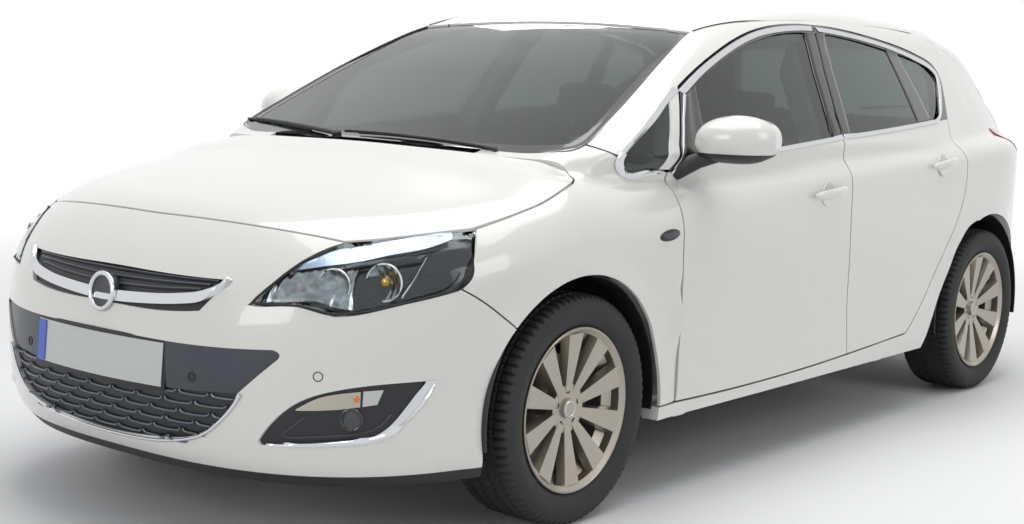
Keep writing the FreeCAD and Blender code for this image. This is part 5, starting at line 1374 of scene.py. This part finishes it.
@dataclass
class Flanks:
    """Handles, window trim, pillar covers, repeaters and mirrors.

    Lines on the side are in shares of the wheelbase and of the height, single places in metres.
    """

    find: Surfaces
    trim_depth: float = 0.0035
    grips: Tuple[Tuple[str, float, float, float], ...] = (
        ("front", -0.073, 0.151, 0.860), ("rear", 0.812, 1.030, 0.928))
    grip_steps: int = 28
    grip_thick: float = 0.008
    grip_tall: float = 0.0165
    cup_radius: float = 0.042
    lamp_place: Tuple[float, float] = (-0.883, 0.786)
    lamp_climb: float = 0.08
    lamp_forms: Tuple[Tuple[str, float, float, float, float], ...] = (
        ("frame", -0.883, 0.050, 0.0165, 0.0), ("lens", -0.880, 0.040, 0.0095, 0.0035))
    mirror_place: Spot = (0.963, -0.650, 1.060)
    mirror_out: float = 0.121
    mirror_in: float = 0.112
    mirror_high: float = 0.075
    mirror_low: float = 0.070
    mirror_nose: float = 0.105
    foot_line: Tuple[Spot, ...] = (
        (0.803, -0.735, 0.965), (0.835, -0.725, 0.978), (0.868, -0.705, 0.996),
        (0.905, -0.680, 1.012), (0.94, -0.66, 1.025))
    upright: Spots = ((0.2395, 0.7920), (0.2180, 0.7430), (0.1835, 0.6480))
    upright_back: Spots = ((0.2430, 0.7900), (0.2215, 0.7420), (0.1870, 0.6480))
    covers: Tuple[Tuple[str, str, Spots, Spots], ...] = (
        ("front", "front", ((0.531, 0.7000), (0.538, 0.740), (0.555, 0.840), (0.5795, 0.932)),
         ((0.5545, 0.7010), (0.5575, 0.740), (0.5770, 0.840), (0.6035, 0.9345))),
        ("rear", "rear", ((0.5600, 0.7015), (0.5625, 0.740), (0.5820, 0.840), (0.6090, 0.9345)),
         ((0.584, 0.7040), (0.590, 0.740), (0.6075, 0.840), (0.6330, 0.932))),
        ("sail", "front", ((0.243, 0.7895), (0.2225, 0.742), (0.1885, 0.6480)),
         ((0.272, 0.8100), (0.2580, 0.742), (0.2500, 0.6610))),
        ("divider", "rear", ((0.800, 0.7220), (0.8005, 0.820), (0.801, 0.9040)),
         ((0.848, 0.7270), (0.840, 0.820), (0.832, 0.8950))))
    trims: Tuple[Tuple[str, str, Spots, Spots], ...] = (
        ("front_door", "belt", ((0.181, 0.6365), (0.25, 0.650), (0.34, 0.6635), (0.42, 0.6745),
                                (0.50, 0.6845), (0.5555, 0.6905)),
         ((0.185, 0.6475), (0.25, 0.6605), (0.34, 0.674), (0.42, 0.685), (0.50, 0.695),
          (0.5560, 0.7010))), ("front_door", "roof",
                               ((0.235, 0.800), (0.30, 0.8475), (0.37, 0.8895), (0.44, 0.9215),
                                (0.50, 0.9385), (0.56, 0.9465), (0.606, 0.9475)),
                               ((0.242, 0.791), (0.30, 0.8355), (0.37, 0.878), (0.44, 0.9105),
                                (0.50, 0.927), (0.56, 0.935), (0.603, 0.9365))),
        ("rear_door", "belt", ((0.560, 0.6910), (0.68, 0.7010), (0.78, 0.7105), (0.866, 0.7190)),
         ((0.562, 0.7015), (0.68, 0.7115), (0.78, 0.7210), (0.862, 0.7295))),
        ("rear_door", "rear", ((0.866, 0.7190), (0.890, 0.7370), (0.913, 0.768), (0.941, 0.817),
                               (0.9440, 0.845), (0.922, 0.871), (0.870, 0.8935), (0.80, 0.9155),
                               (0.73, 0.9315), (0.66, 0.9425), (0.615, 0.9465)),
         ((0.862, 0.7295), (0.880, 0.7425), (0.903, 0.772), (0.931, 0.820), (0.933, 0.841),
          (0.914, 0.862), (0.866, 0.883), (0.80, 0.9045), (0.73, 0.9205), (0.66, 0.9315),
          (0.619, 0.9355))))
    quarter_outer: Spots = ((0.173, 0.6370), (0.14, 0.6335), (0.115, 0.6305), (0.098, 0.6440),
                            (0.096, 0.6720), (0.122, 0.7060), (0.168, 0.7490), (0.214, 0.7950),
                            (0.230, 0.8060))
    quarter_inner: Spots = ((0.176, 0.6475), (0.14, 0.6445), (0.119, 0.6425), (0.108, 0.6520),
                            (0.107, 0.6715), (0.130, 0.7000), (0.175, 0.7415), (0.219, 0.7860),
                            (0.236, 0.7970))

    def build(self) -> None:
        """Builds both sides."""
        for side, sign in SIDES:
            view = View.LEFT if sign > 0 else View.RIGHT
            self.handles(side, sign)
            self.window_trim(side, view)
            self.pillars(side, view)
            self.repeater(side, sign)
            self.mirror(side, sign)
        LOG.info("flanks built")

    def handles(self, side: str, sign: int) -> None:
        """A bowed grip over a round cup on each door.

        Args:
            side: left or right.
            sign: 1 on the left, -1 on the right.
        """
        for door, start, stop, z in self.grips:
            node = "%s_door_%s" % (door, side)
            body = node + "_body"
            span, steps = stop - start, self.grip_steps
            rest = [self.find.side((node,), sign, start + span * n / steps, z + 0.016 * n / steps)
                    for n in range(steps + 1)]

            def place(u: float, v: float) -> Vector:
                """The point at shares along and round the grip.

                Args:
                    u: from 0 to 1 in the first direction.
                    v: from 0 to 1 in the second direction.

                Returns:
                    The point.
                """
                angle = math.tau * v
                taper = math.sqrt(max(0.0, 1 - abs(2 * u - 1) ** 3.6))
                out = 0.008 + 0.026 * math.sin(math.pi * u) ** 0.5
                across = sign * (out + self.grip_thick * taper * math.cos(angle))
                up = self.grip_tall * taper * math.sin(angle)
                return rest[int(round(u * steps))] + Vector((across, 0, up))

            grip = patch("%s_handle_%s" % (door, side), steps, 18, place, merge=True)
            finish_piece(grip, PAINT, body, "paint", 1.0)
            aim = Vector((sign * self.find.beside, (start + stop) / 2, z))
            spot, normal = self.find.cast((node,), aim, Vector((-sign, 0, 0)), 0.0040)
            cup = basin("%s_cup_%s" % (door, side), spot, normal, self.cup_radius, 0.0048,
                        ((0.002, 0.0), (0.009, -0.0016), (0.009, -0.0012), (0.009, -0.0006)), 48)
            finish_piece(cup, PAINT, body, "paint", 1.0)

    def window_trim(self, side: str, view: View) -> None:
        """Chrome strips round the side windows and the upright before the front glass.

        Args:
            side: left or right.
            view: that side.
        """
        for door, label, outer, inner in self.trims:
            node = "%s_%s" % (door, side)
            strip = self.find.band("trim_%s_%s_%s" % (door, label, side), (node,), view,
                                   on_side(rounded(outer)), on_side(rounded(inner)),
                                   self.trim_depth, 60, 2, 0.0, 0.0012, 5)
            finish_piece(strip, CHROME, node + "_body", "paint", 0.9)
        strip = self.find.band("trim_quarter_" + side,
                               ("front_fenders", "side_frames", "quarter_glass"), view,
                               on_side(rounded(self.quarter_outer)),
                               on_side(rounded(self.quarter_inner)), self.trim_depth, 60, 2, 0.0,
                               0.0012, 6)
        finish_piece(strip, CHROME, "car_body", "paint", 0.9)
        node = "front_door_" + side
        upright = self.find.band("trim_upright_" + side, (node,), view, on_side(self.upright),
                                 on_side(self.upright_back), self.trim_depth, 30, 1, 0.0, 0.001)
        finish_piece(upright, CHROME, node + "_body", "paint", 0.9)

    def pillars(self, side: str, view: View) -> None:
        """Black covers beside the centre pillar, behind the mirror and before the rearmost pane.

        Args:
            side: left or right.
            view: that side.
        """
        for label, door, first, second in self.covers:
            nodes = ("%s_door_%s" % (door, side), "%s_glass_%s" % (door, side))
            cover = self.find.band("pillar_cover_%s_%s" % (label, side), nodes, view,
                                   on_side(first), on_side(second), 0.0026, 36, 6, 0.0, 0.0008, 3)
            finish_piece(cover, GLOSS_BLACK, nodes[0] + "_body", "black_plastic", 1.0)

    def repeater(self, side: str, sign: int) -> None:
        """The dark oval repeater lamp behind the front wheel.

        Args:
            side: left or right.
            sign: 1 on the left, -1 on the right.
        """
        finishes = (BLACK_PLASTIC, GREY_PANEL)
        for (label, y0, half, tall, rise), finish in zip(self.lamp_forms, finishes):
            def place(u: float, v: float) -> Vector:
                """The point at shares outward and round the dome.

                Args:
                    u: from 0 to 1 in the first direction.
                    v: from 0 to 1 in the second direction.

                Returns:
                    The point.
                """
                angle = math.tau * v
                reach = math.sin(math.pi / 2 * u)
                y = y0 + half * reach * math.cos(angle)
                climb = self.lamp_climb * (y - self.lamp_place[0])
                z = self.lamp_place[1] + tall * reach * math.sin(angle) + climb
                dome = 0.005 * math.cos(math.pi / 2 * u) ** 0.6
                return self.find.side(("front_fenders",), sign, y, z, 0.0005 + rise + dome)

            lamp = patch("repeater_%s_%s" % (label, side), 8, 32, place, merge=True)
            finish_piece(lamp, finish, "car_body", "lamp_clear", 1.0)

    def mirror(self, side: str, sign: int) -> None:
        """A domed housing with a flat underside on its foot, and its silvered glass.

        Args:
            side: left or right.
            sign: 1 on the left, -1 on the right.
        """
        centre = Vector(self.mirror_place)

        def rim(angle: float, grow: float) -> Tuple[float, float]:
            """The outline at an angle, grown by a share.

            Args:
                angle: angle round the middle.
                grow: share of the full size.

            Returns:
                Places across and up from the middle.
            """
            c, s = math.cos(angle), math.sin(angle)
            wide = self.mirror_out if c > 0 else self.mirror_in + 0.012 * max(0.0, -s)
            tall = self.mirror_high if s > 0 else self.mirror_low
            size = (abs(c / wide) ** 2.5 + abs(s / tall) ** 2.5) ** (-1 / 2.5)
            x = c * size * grow
            return x, s * size * grow - 0.10 * max(0.0, -x) * (s > 0)

        def place(u: float, v: float) -> Vector:
            """The point at shares outward and round the housing.

            Args:
                u: from 0 to 1 in the first direction.
                v: from 0 to 1 in the second direction.

            Returns:
                The point.
            """
            angle = math.tau * v
            if u < 0.7:
                turn = math.pi / 2 * u / 0.7
                x, z = rim(angle, math.sin(turn) ** 0.85)
                y = -self.mirror_nose * math.cos(turn)
            else:
                x, z = rim(angle, 1.0 - 0.10 * (u - 0.7) / 0.3)
                y = 0.055 * (u - 0.7) / 0.3
            return Vector((sign * (centre.x + x), centre.y + y + 0.22 * x, centre.z + z))

        shell = patch("mirror_housing_" + side, 30, 48, place, merge=True)
        modify(shell, "SOLIDIFY", thickness=0.003, offset=-1.0)
        finish_piece(shell, MIRROR_SKIN, "front_door_%s_body" % side, "paint", 1.0)
        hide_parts("mirror_" + side)

        def pane(u: float, v: float) -> Vector:
            """The point at shares outward and round the glass.

            Args:
                u: from 0 to 1 in the first direction.
                v: from 0 to 1 in the second direction.

            Returns:
                The point.
            """
            x, z = rim(math.tau * v, 0.90 * u)
            return Vector((sign * (centre.x + x), centre.y + 0.050 + 0.22 * x, centre.z + z))

        glass = patch("mirror_glass_" + side, 6, 48, pane, 0.003, merge=True)
        finish_piece(glass, CHROME, "front_door_%s_body" % side, "glass", 1.0)
        low = [Vector((sign * x, y, z)) for x, y, z in self.foot_line]
        foot = tube("mirror_foot_" + side, low, 0.026, (1.35, 1.1, 0.95, 0.95, 1.0))
        finish_piece(foot, BLACK_PLASTIC, "front_door_%s_body" % side, "black_plastic", 1.0)


@dataclass
class Top:
    """The windscreen's border, wipers, aerial and ditch strips.

    Lines are in shares of the half width and of the wheelbase, single places in metres.
    """

    find: Surfaces
    border_outer: Spots = ((0, .012), (.157, .013), (.479, .025), (.703, .046), (.785, .073),
                           (.761, .147), (.719, .223), (.633, .347), (.307, .356), (0, .360))
    border_inner: Spots = ((0, .031), (.155, .032), (.468, .043), (.672, .062), (.742, .082),
                           (.719, .147), (.678, .221), (.600, .340), (.300, .349), (0, .353))
    wipers: Tuple[Tuple[Tuple[float, float], Tuple[float, float]], ...] = (
        ((0.56, -1.185), (-0.06, -1.195)), ((-0.14, -1.215), (-0.66, -1.075)))
    arm_steps: int = 16
    ditch: Spots = ((0.635, 0.352), (0.664, 0.50), (0.668, 0.70), (0.650, 0.93))
    aerial_place: float = 1.20
    aerial_length: float = 0.09

    def build(self) -> None:
        """Builds the pieces seen on the screens and roof."""
        halves = [[(a * HALF_WIDTH, station(b)) for a, b in rounded(line)]
                  for line in (self.border_outer, self.border_inner)]
        for side, sign in SIDES:
            rim, clear = [[(sign * a, b) for a, b in line] for line in halves]
            border = self.find.band("screen_border_" + side, ("windscreen",), View.TOP, rim, clear,
                                    0.0012, 110, 3, -0.0002, 0.0, 2)
            finish_piece(border, GLOSS_BLACK, "car_body", "glass", 1.0)
        glass = ("windscreen", "scuttle")
        steps = self.arm_steps
        for n, (pivot, tip) in enumerate(self.wipers):
            run, rise = tip[0] - pivot[0], tip[1] - pivot[1]
            line = [self.find.top(glass, pivot[0] + run * s / steps, pivot[1] + rise * s / steps,
                                  0.012 - 0.004 * s / steps) for s in range(steps + 1)]
            radii = [1.3 - 0.6 * s / steps for s in range(steps + 1)]
            finish_piece(tube("wiper_arm_%d" % n, line, 0.006, radii), BLACK_PLASTIC, "car_body",
                         "black_plastic")
            blade = [point + Vector((0, 0.0, -0.006)) + (line[-1] - line[0]).normalized() * 0.06
                     for point in line[3:]]
            finish_piece(tube("wiper_blade_%d" % n, blade, 0.0045), SEAL, "car_body",
                         "black_plastic")
            hub = basin("wiper_pivot_%d" % n, line[0] + Vector((0, 0, 0.004)),
                        Vector((0, -0.3, 1)).normalized(), 0.015, 0.02, ((0.004, 0.003),), 24)
            finish_piece(hub, BLACK_PLASTIC, "car_body", "black_plastic")
        for side, sign in SIDES:
            line = []
            for n in range(31):
                a, s = blend_line(self.ditch, n / 30)
                line.append(self.find.top(("roof_panel", "side_frames"), sign * a * HALF_WIDTH,
                                          station(s), -0.001))
            finish_piece(tube("ditch_strip_" + side, line, 0.0042), SEAL, "car_body",
                         "black_plastic")
        root = self.find.top(("roof_panel",), 0, self.aerial_place, 0.0)
        mast = [root
                + Vector((0, self.aerial_length * s / 10, 0.002 + 0.012 * s / 10 * (1 - s / 20)))
                for s in range(11)]
        finish_piece(tube("aerial", mast, 0.004, [1.6 - s * 0.1 for s in range(11)]), BLACK_PLASTIC,
                     "car_body", "black_plastic")
        LOG.info("top built")


@dataclass
class Tail:
    """Rear plate, badge ring, wiper and the tail lamps' wings on the side."""

    find: Surfaces
    plate_middle: float = 0.800
    plate_size: Tuple[float, float] = (0.52, 0.110)
    plate_frame: Tuple[float, float] = (0.536, 0.126)
    badge_height: float = 0.955
    badge_radius: float = 0.045
    wing_low: Spots = ((1.655, 1.036), (1.740, 0.985), (1.830, 0.935), (1.905, 0.900))
    wing_high: Spots = ((1.650, 1.044), (1.740, 1.038), (1.830, 1.026), (1.905, 1.008))

    def build(self) -> None:
        """Builds the tailgate's and rear bumper's pieces."""
        nodes = ("tailgate", "rear_bumper")

        def sheet(width: float, height: float, out: float) -> Place:
            """A bowed sheet of a width and height, set back by a distance.

            Args:
                width: its width.
                height: its height.
                out: how far back it is set.

            Returns:
                What gives its points.
            """
            def place(u: float, v: float) -> Vector:
                """The point at shares across and up the sheet.

                Args:
                    u: from 0 to 1 in the first direction.
                    v: from 0 to 1 in the second direction.

                Returns:
                    The point.
                """
                x = (0.5 - u) * width
                base = self.find.back(nodes, 0.0, self.plate_middle + (v - 0.5) * height)
                return Vector((x, base.y + 0.006 + out - 0.10 * x * x, base.z))
            return place

        frame = patch("rear_plate_frame", 24, 4, sheet(*self.plate_frame, 0.0), -0.010, 0.002)
        finish_piece(frame, BLACK_PLASTIC, "tailgate_body", "black_plastic")
        blank = patch("rear_plate_blank", 24, 4, sheet(*self.plate_size, 0.003), -0.003, 0.001)
        finish_piece(blank, PLATE, "tailgate_body", "paint")
        spot, normal = self.find.cast(nodes, Vector((0, self.find.behind, self.badge_height)),
                                      Vector((0, -1, 0)), 0.004)
        turns, reach = [math.tau * n / 40 for n in range(40)], self.badge_radius
        ring = [spot + Vector((reach * math.cos(a), 0, reach * math.sin(a))) + normal * 0.002
                for a in turns]
        finish_piece(tube("tail_badge_ring", ring, 0.0045, closed=True), CHROME, "tailgate_body",
                     "paint")
        disc = basin("tail_badge_disc", spot, normal, 0.041, 0.005, ((0.006, -0.001),), 40)
        finish_piece(disc, CHROME, "tailgate_body", "paint")
        line = [self.find.back(("tailgate_glass", "tailgate"), 0.34 * s / 14 - 0.02,
                               1.085 + 0.002 * s, 0.008) for s in range(15)]
        finish_piece(tube("rear_wiper", line, 0.0055, [1.4 - s * 0.05 for s in range(15)]),
                     BLACK_PLASTIC, "tailgate_body", "black_plastic")
        for side, sign in SIDES:
            view = View.LEFT if sign > 0 else View.RIGHT
            wing = self.find.band("tail_lamp_wing_" + side, ("side_frames", "tail_lamps"), view,
                                  self.wing_low, self.wing_high, 0.004, 24, 6, 0.0, 0.001, 3)
            finish_piece(wing, RED_LENS, "car_body", "lamp_red", 1.0)
        LOG.info("tail built")


@dataclass
class Cabin:
    """Padded seats on their rails, and the rear bench."""

    seat_middle: float = 0.36
    seat_pads: Tuple[Pad, ...] = (
        ("seat_cushion", (-0.245, -0.345, 0.335), (0.245, 0.10, 0.500), 0.030, 0.0, 0.006),
        ("seat_back", (-0.235, 0.075, 0.500), (0.235, 0.200, 1.020), 0.022, 0.34, 0.006),
        ("seat_headrest", (-0.120, 0.320, 1.045), (0.120, 0.395, 1.180), 0.012, 0.1, 0.0))
    bench_pads: Tuple[Pad, ...] = (
        ("bench_cushion", (-0.585, 0.665, 0.400), (0.585, 1.09, 0.545), 0.022, 0.0, 0.006),
        ("bench_back", (-0.585, 1.085, 0.545), (0.585, 1.190, 1.030), 0.018, 0.33, 0.006))
    rail_half: float = 0.16
    rail_radius: float = 0.016
    leg_radius: float = 0.014
    post_half: float = 0.045
    post_radius: float = 0.006

    def build(self) -> None:
        """Builds the front seats, the bench and the steel under and between them."""
        for side, sign in SIDES:
            self.pads(self.seat_pads, "_" + side, sign * self.seat_middle)
        self.pads(self.bench_pads, "", 0.0)
        for name, node in (("seat_cushion_left", "front_seats"), ("bench_cushion", "rear_bench")):
            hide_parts(node)
        for side, sign in SIDES:
            self.steel(side, sign * self.seat_middle)
        LOG.info("cabin built")

    def pads(self, pads: Sequence[Pad], ending: str, middle: float) -> None:
        """Cushions moved to one seat's place.

        Args:
            pads: name, low and high corner, crown, lean and depth of the channels of each.
            ending: what their names end with.
            middle: x of the seat's middle.
        """
        for name, low, high, crown, lean, waist in pads:
            shift = Vector((middle, 0, 0))
            pad(name + ending, Vector(low) + shift, Vector(high) + shift, crown, lean, "car_body",
                waist)

    def steel(self, side: str, middle: float) -> None:
        """Rails, legs and headrest posts of one front seat.

        Args:
            side: left or right.
            middle: x of the seat's middle.
        """
        for n, dx in enumerate((-self.rail_half, self.rail_half)):
            x = middle + dx
            rail = tube("seat_rail_%s_%d" % (side, n),
                        [Vector((x, -0.33 + 0.04 * s, 0.278 + 0.0001 * s)) for s in range(11)],
                        self.rail_radius)
            finish_piece(rail, UNDERBODY, "car_body", "steel")
            leg = tube("seat_leg_%s_%d" % (side, n),
                       [Vector((x, -0.10, 0.28 + 0.02 * s)) for s in range(4)], self.leg_radius)
            finish_piece(leg, UNDERBODY, "car_body", "steel")
        for n, dx in enumerate((-self.post_half, self.post_half)):
            post = tube("headrest_post_%s_%d" % (side, n),
                        [Vector((middle + dx, 0.335 + 0.004 * s, 0.99 + 0.02 * s))
                         for s in range(5)], self.post_radius)
            finish_piece(post, CHROME, "car_body", "fabric")


@dataclass
class Studio:
    """Floor, lights, world and camera."""

    place: Vector = field(default_factory=lambda: Vector((3.52482, -4.83127, 1.31070)))
    azimuth: float = 0.661705
    elevation: float = 0.105758
    roll: float = 0.0333287
    lens_mm: float = 57.69
    shift: Tuple[float, float] = (-0.03625, -0.03757)
    softboxes: Tuple[Tuple[str, Spot, Spot, float, float], ...] = (
        ("overhead_softbox", (0.3, -0.2, 5.0), (0, 0, 0.4), 5.0, 190),
        ("front_softbox", (1.0, -8.0, 3.0), (0, -1, 0.6), 3.0, 90),
        ("left_softbox", (7.0, 0.5, 3.4), (0, 0.0, 0.7), 3.0, 60),
        ("rear_softbox", (-4.5, 6.0, 3.4), (0, 0.5, 0.6), 3.0, 90))
    floor_radius: float = 40.0
    fade_from: float = 2.6
    fade_to: float = 6.0

    def build(self) -> None:
        """Builds the stage round the car."""
        self.camera()
        self.world()
        self.floor()
        for name, spot, aim, size, power in self.softboxes:
            bpy.ops.object.light_add(type="AREA", location=spot)
            lamp = bpy.context.object
            lamp.name = name
            lamp.data.size = size
            lamp.data.energy = power
            lamp.rotation_euler = (Vector(aim) - Vector(spot)).to_track_quat("-Z", "Y").to_euler()
        bpy.context.scene.view_settings.view_transform = "Standard"
        LOG.info("studio built")

    def camera(self) -> None:
        """Sets the camera where the photographer stood."""
        a, e = self.azimuth, self.elevation
        back = Vector((math.sin(a) * math.cos(e), -math.cos(a) * math.cos(e), math.sin(e)))
        right = (-back).cross(Vector((0, 0, 1))).normalized()
        up = right.cross(-back)
        level, upright = (right * math.cos(self.roll) + up * math.sin(self.roll),
                          up * math.cos(self.roll) - right * math.sin(self.roll))
        bpy.ops.object.camera_add(location=self.place)
        camera = bpy.context.object
        turn = Matrix((level, upright, back)).transposed().to_4x4()
        camera.matrix_world = Matrix.Translation(self.place) @ turn
        camera.data.sensor_width = 36.0
        camera.data.lens = self.lens_mm
        camera.data.shift_x, camera.data.shift_y = self.shift
        camera.data.clip_end = 200.0
        bpy.context.scene.camera = camera

    def world(self) -> None:
        """Soft white light all round; the camera sees plain white behind the car."""
        world = bpy.data.worlds.new("studio_air")
        bpy.context.scene.world = world
        world.use_nodes = True
        tree = world.node_tree
        tree.nodes.clear()
        seen = seen_rays(tree)
        soft = add(tree, "Background", {"Color": (0.93, 0.96, 1.0, 1.0), "Strength": 0.42})
        plain = add(tree, "Background", {"Color": (1.0, 1.0, 1.0, 1.0), "Strength": 1.0})
        mixed = add(tree, "MixShader", {}, {0: seen, 1: soft.outputs[0], 2: plain.outputs[0]})
        add(tree, "OutputWorld", {}, {"Surface": mixed.outputs[0]})

    def floor(self) -> None:
        """A pale floor that fades to white away from the car."""
        deselect()
        bpy.ops.mesh.primitive_circle_add(vertices=96, radius=self.floor_radius, fill_type="NGON",
                                          location=(0, 0, 0))
        floor = settle(bpy.context.object, "studio_floor")
        made = bpy.data.materials.new("pale_studio_floor")
        made.use_nodes = True
        tree = made.node_tree
        shader = tree.nodes["Principled BSDF"]
        shader.inputs["Base Color"].default_value = linear("#f1f1f1")
        shader.inputs["Roughness"].default_value = 0.55
        coords = add(tree, "TexCoord")
        far = add(tree, "VectorMath", {"operation": "LENGTH"}, {0: coords.outputs["Object"]})
        fade = add(tree, "MapRange", {"From Min": self.fade_from, "From Max": self.fade_to},
                   {"Value": far.outputs["Value"]})
        white = add(tree, "Emission", {"Color": (1.0, 1.0, 1.0, 1.0), "Strength": 1.0})
        seen = seen_rays(tree)
        share = add(tree, "Math", {"operation": "MULTIPLY"}, {0: fade.outputs["Result"], 1: seen})
        mixed = add(tree, "MixShader", {},
                    {0: share.outputs["Value"], 1: shader.outputs[0], 2: white.outputs[0]})
        tree.links.new(mixed.outputs[0], tree.nodes["Material Output"].inputs["Surface"])
        floor.data.materials.append(made)
        floor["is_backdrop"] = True


@dataclass
class Shell:
    """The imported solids' own finishes."""

    frame: Dict[str, object]
    rim_middle: float = 0.7705
    disc_depth: float = 0.020
    disc_radius: float = 0.152

    def build(self) -> None:
        """Gives each solid its finish, with a second one on the faces turned to the cabin."""
        slots = {entry["node"]: entry["material_slot"]
                 for entry in self.frame["record"]["subparts"]}
        for name, obj in self.frame["nodes"].items():
            first = SLOT_FINISHES[slots[name]]
            obj.data.materials.clear()
            obj.data.materials.append(first.material())
            if name.startswith(("front_door", "rear_door", "side_frames", "tailgate",
                                "roof_panel")) and "glass" not in name:
                obj.data.materials[0] = {"front": FRONT_DOOR_SKIN,
                                         "rear_": REAR_DOOR_SKIN}.get(name[:5], PAINT).material()
                obj.data.materials.append(CABIN.material())
                self.part_faces(obj, name)
            if name in ("front_bumper", "rear_bumper"):
                obj.data.materials[0] = (LIP_SKIN
                                         if name == "front_bumper" else VALANCE_SKIN).material()
                obj.data.materials.append(BLACK_PLASTIC.material())
                for face in obj.data.polygons:
                    out = Vector((face.center.x * 0.6, -1.0 if name == "front_bumper" else 1.0,
                                  0.0)).normalized()
                    face.material_index = int(face.normal.dot(out) < INWARD_NORMAL)
            if name.startswith("rim"):
                obj.data.materials.append(BRAKE.material())
                for face in obj.data.polygons:
                    inward = self.rim_middle - abs(face.center.x)
                    along = abs(face.center.y - (FRONT_AXLE + REAR_AXLE) / 2) - WHEELBASE / 2
                    radius = math.hypot(face.center.z - AXLE_HEIGHT, along)
                    face.material_index = int(inward > self.disc_depth
                                              and radius < self.disc_radius)
        LOG.info("solids dressed")

    def part_faces(self, obj: bpy.types.Object, name: str) -> None:
        """Cabin plastic on the faces that look into the cabin.

        Args:
            obj: the solid.
            name: its node's name.
        """
        for face in obj.data.polygons:
            if name == "roof_panel":
                inside = face.normal.z < INWARD_NORMAL
            elif name == "tailgate":
                inside = face.normal.y < INWARD_NORMAL and face.normal.z < 0.5
            elif abs(face.center.x) > 0.3:
                inside = face.normal.x * math.copysign(1.0, face.center.x) < INWARD_NORMAL
            else:
                inside = face.normal.z < INWARD_NORMAL
            face.material_index = int(inside)


def main() -> None:
    """Builds the whole scene and reports each step."""
    logging.basicConfig(level=logging.INFO, format="%(message)s")
    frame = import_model()
    find = Surfaces(frame)
    Shell(frame).build()
    Wheels().build()
    Nose(find).build()
    Flanks(find).build()
    Top(find).build()
    Tail(find).build()
    Cabin().build()
    Studio().build()
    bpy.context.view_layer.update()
    for name, count in (("pieces", len(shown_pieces())), ("materials", len(bpy.data.materials))):
        LOG.info("%s: %d", name, count)


if __name__ == "__main__":
    main()
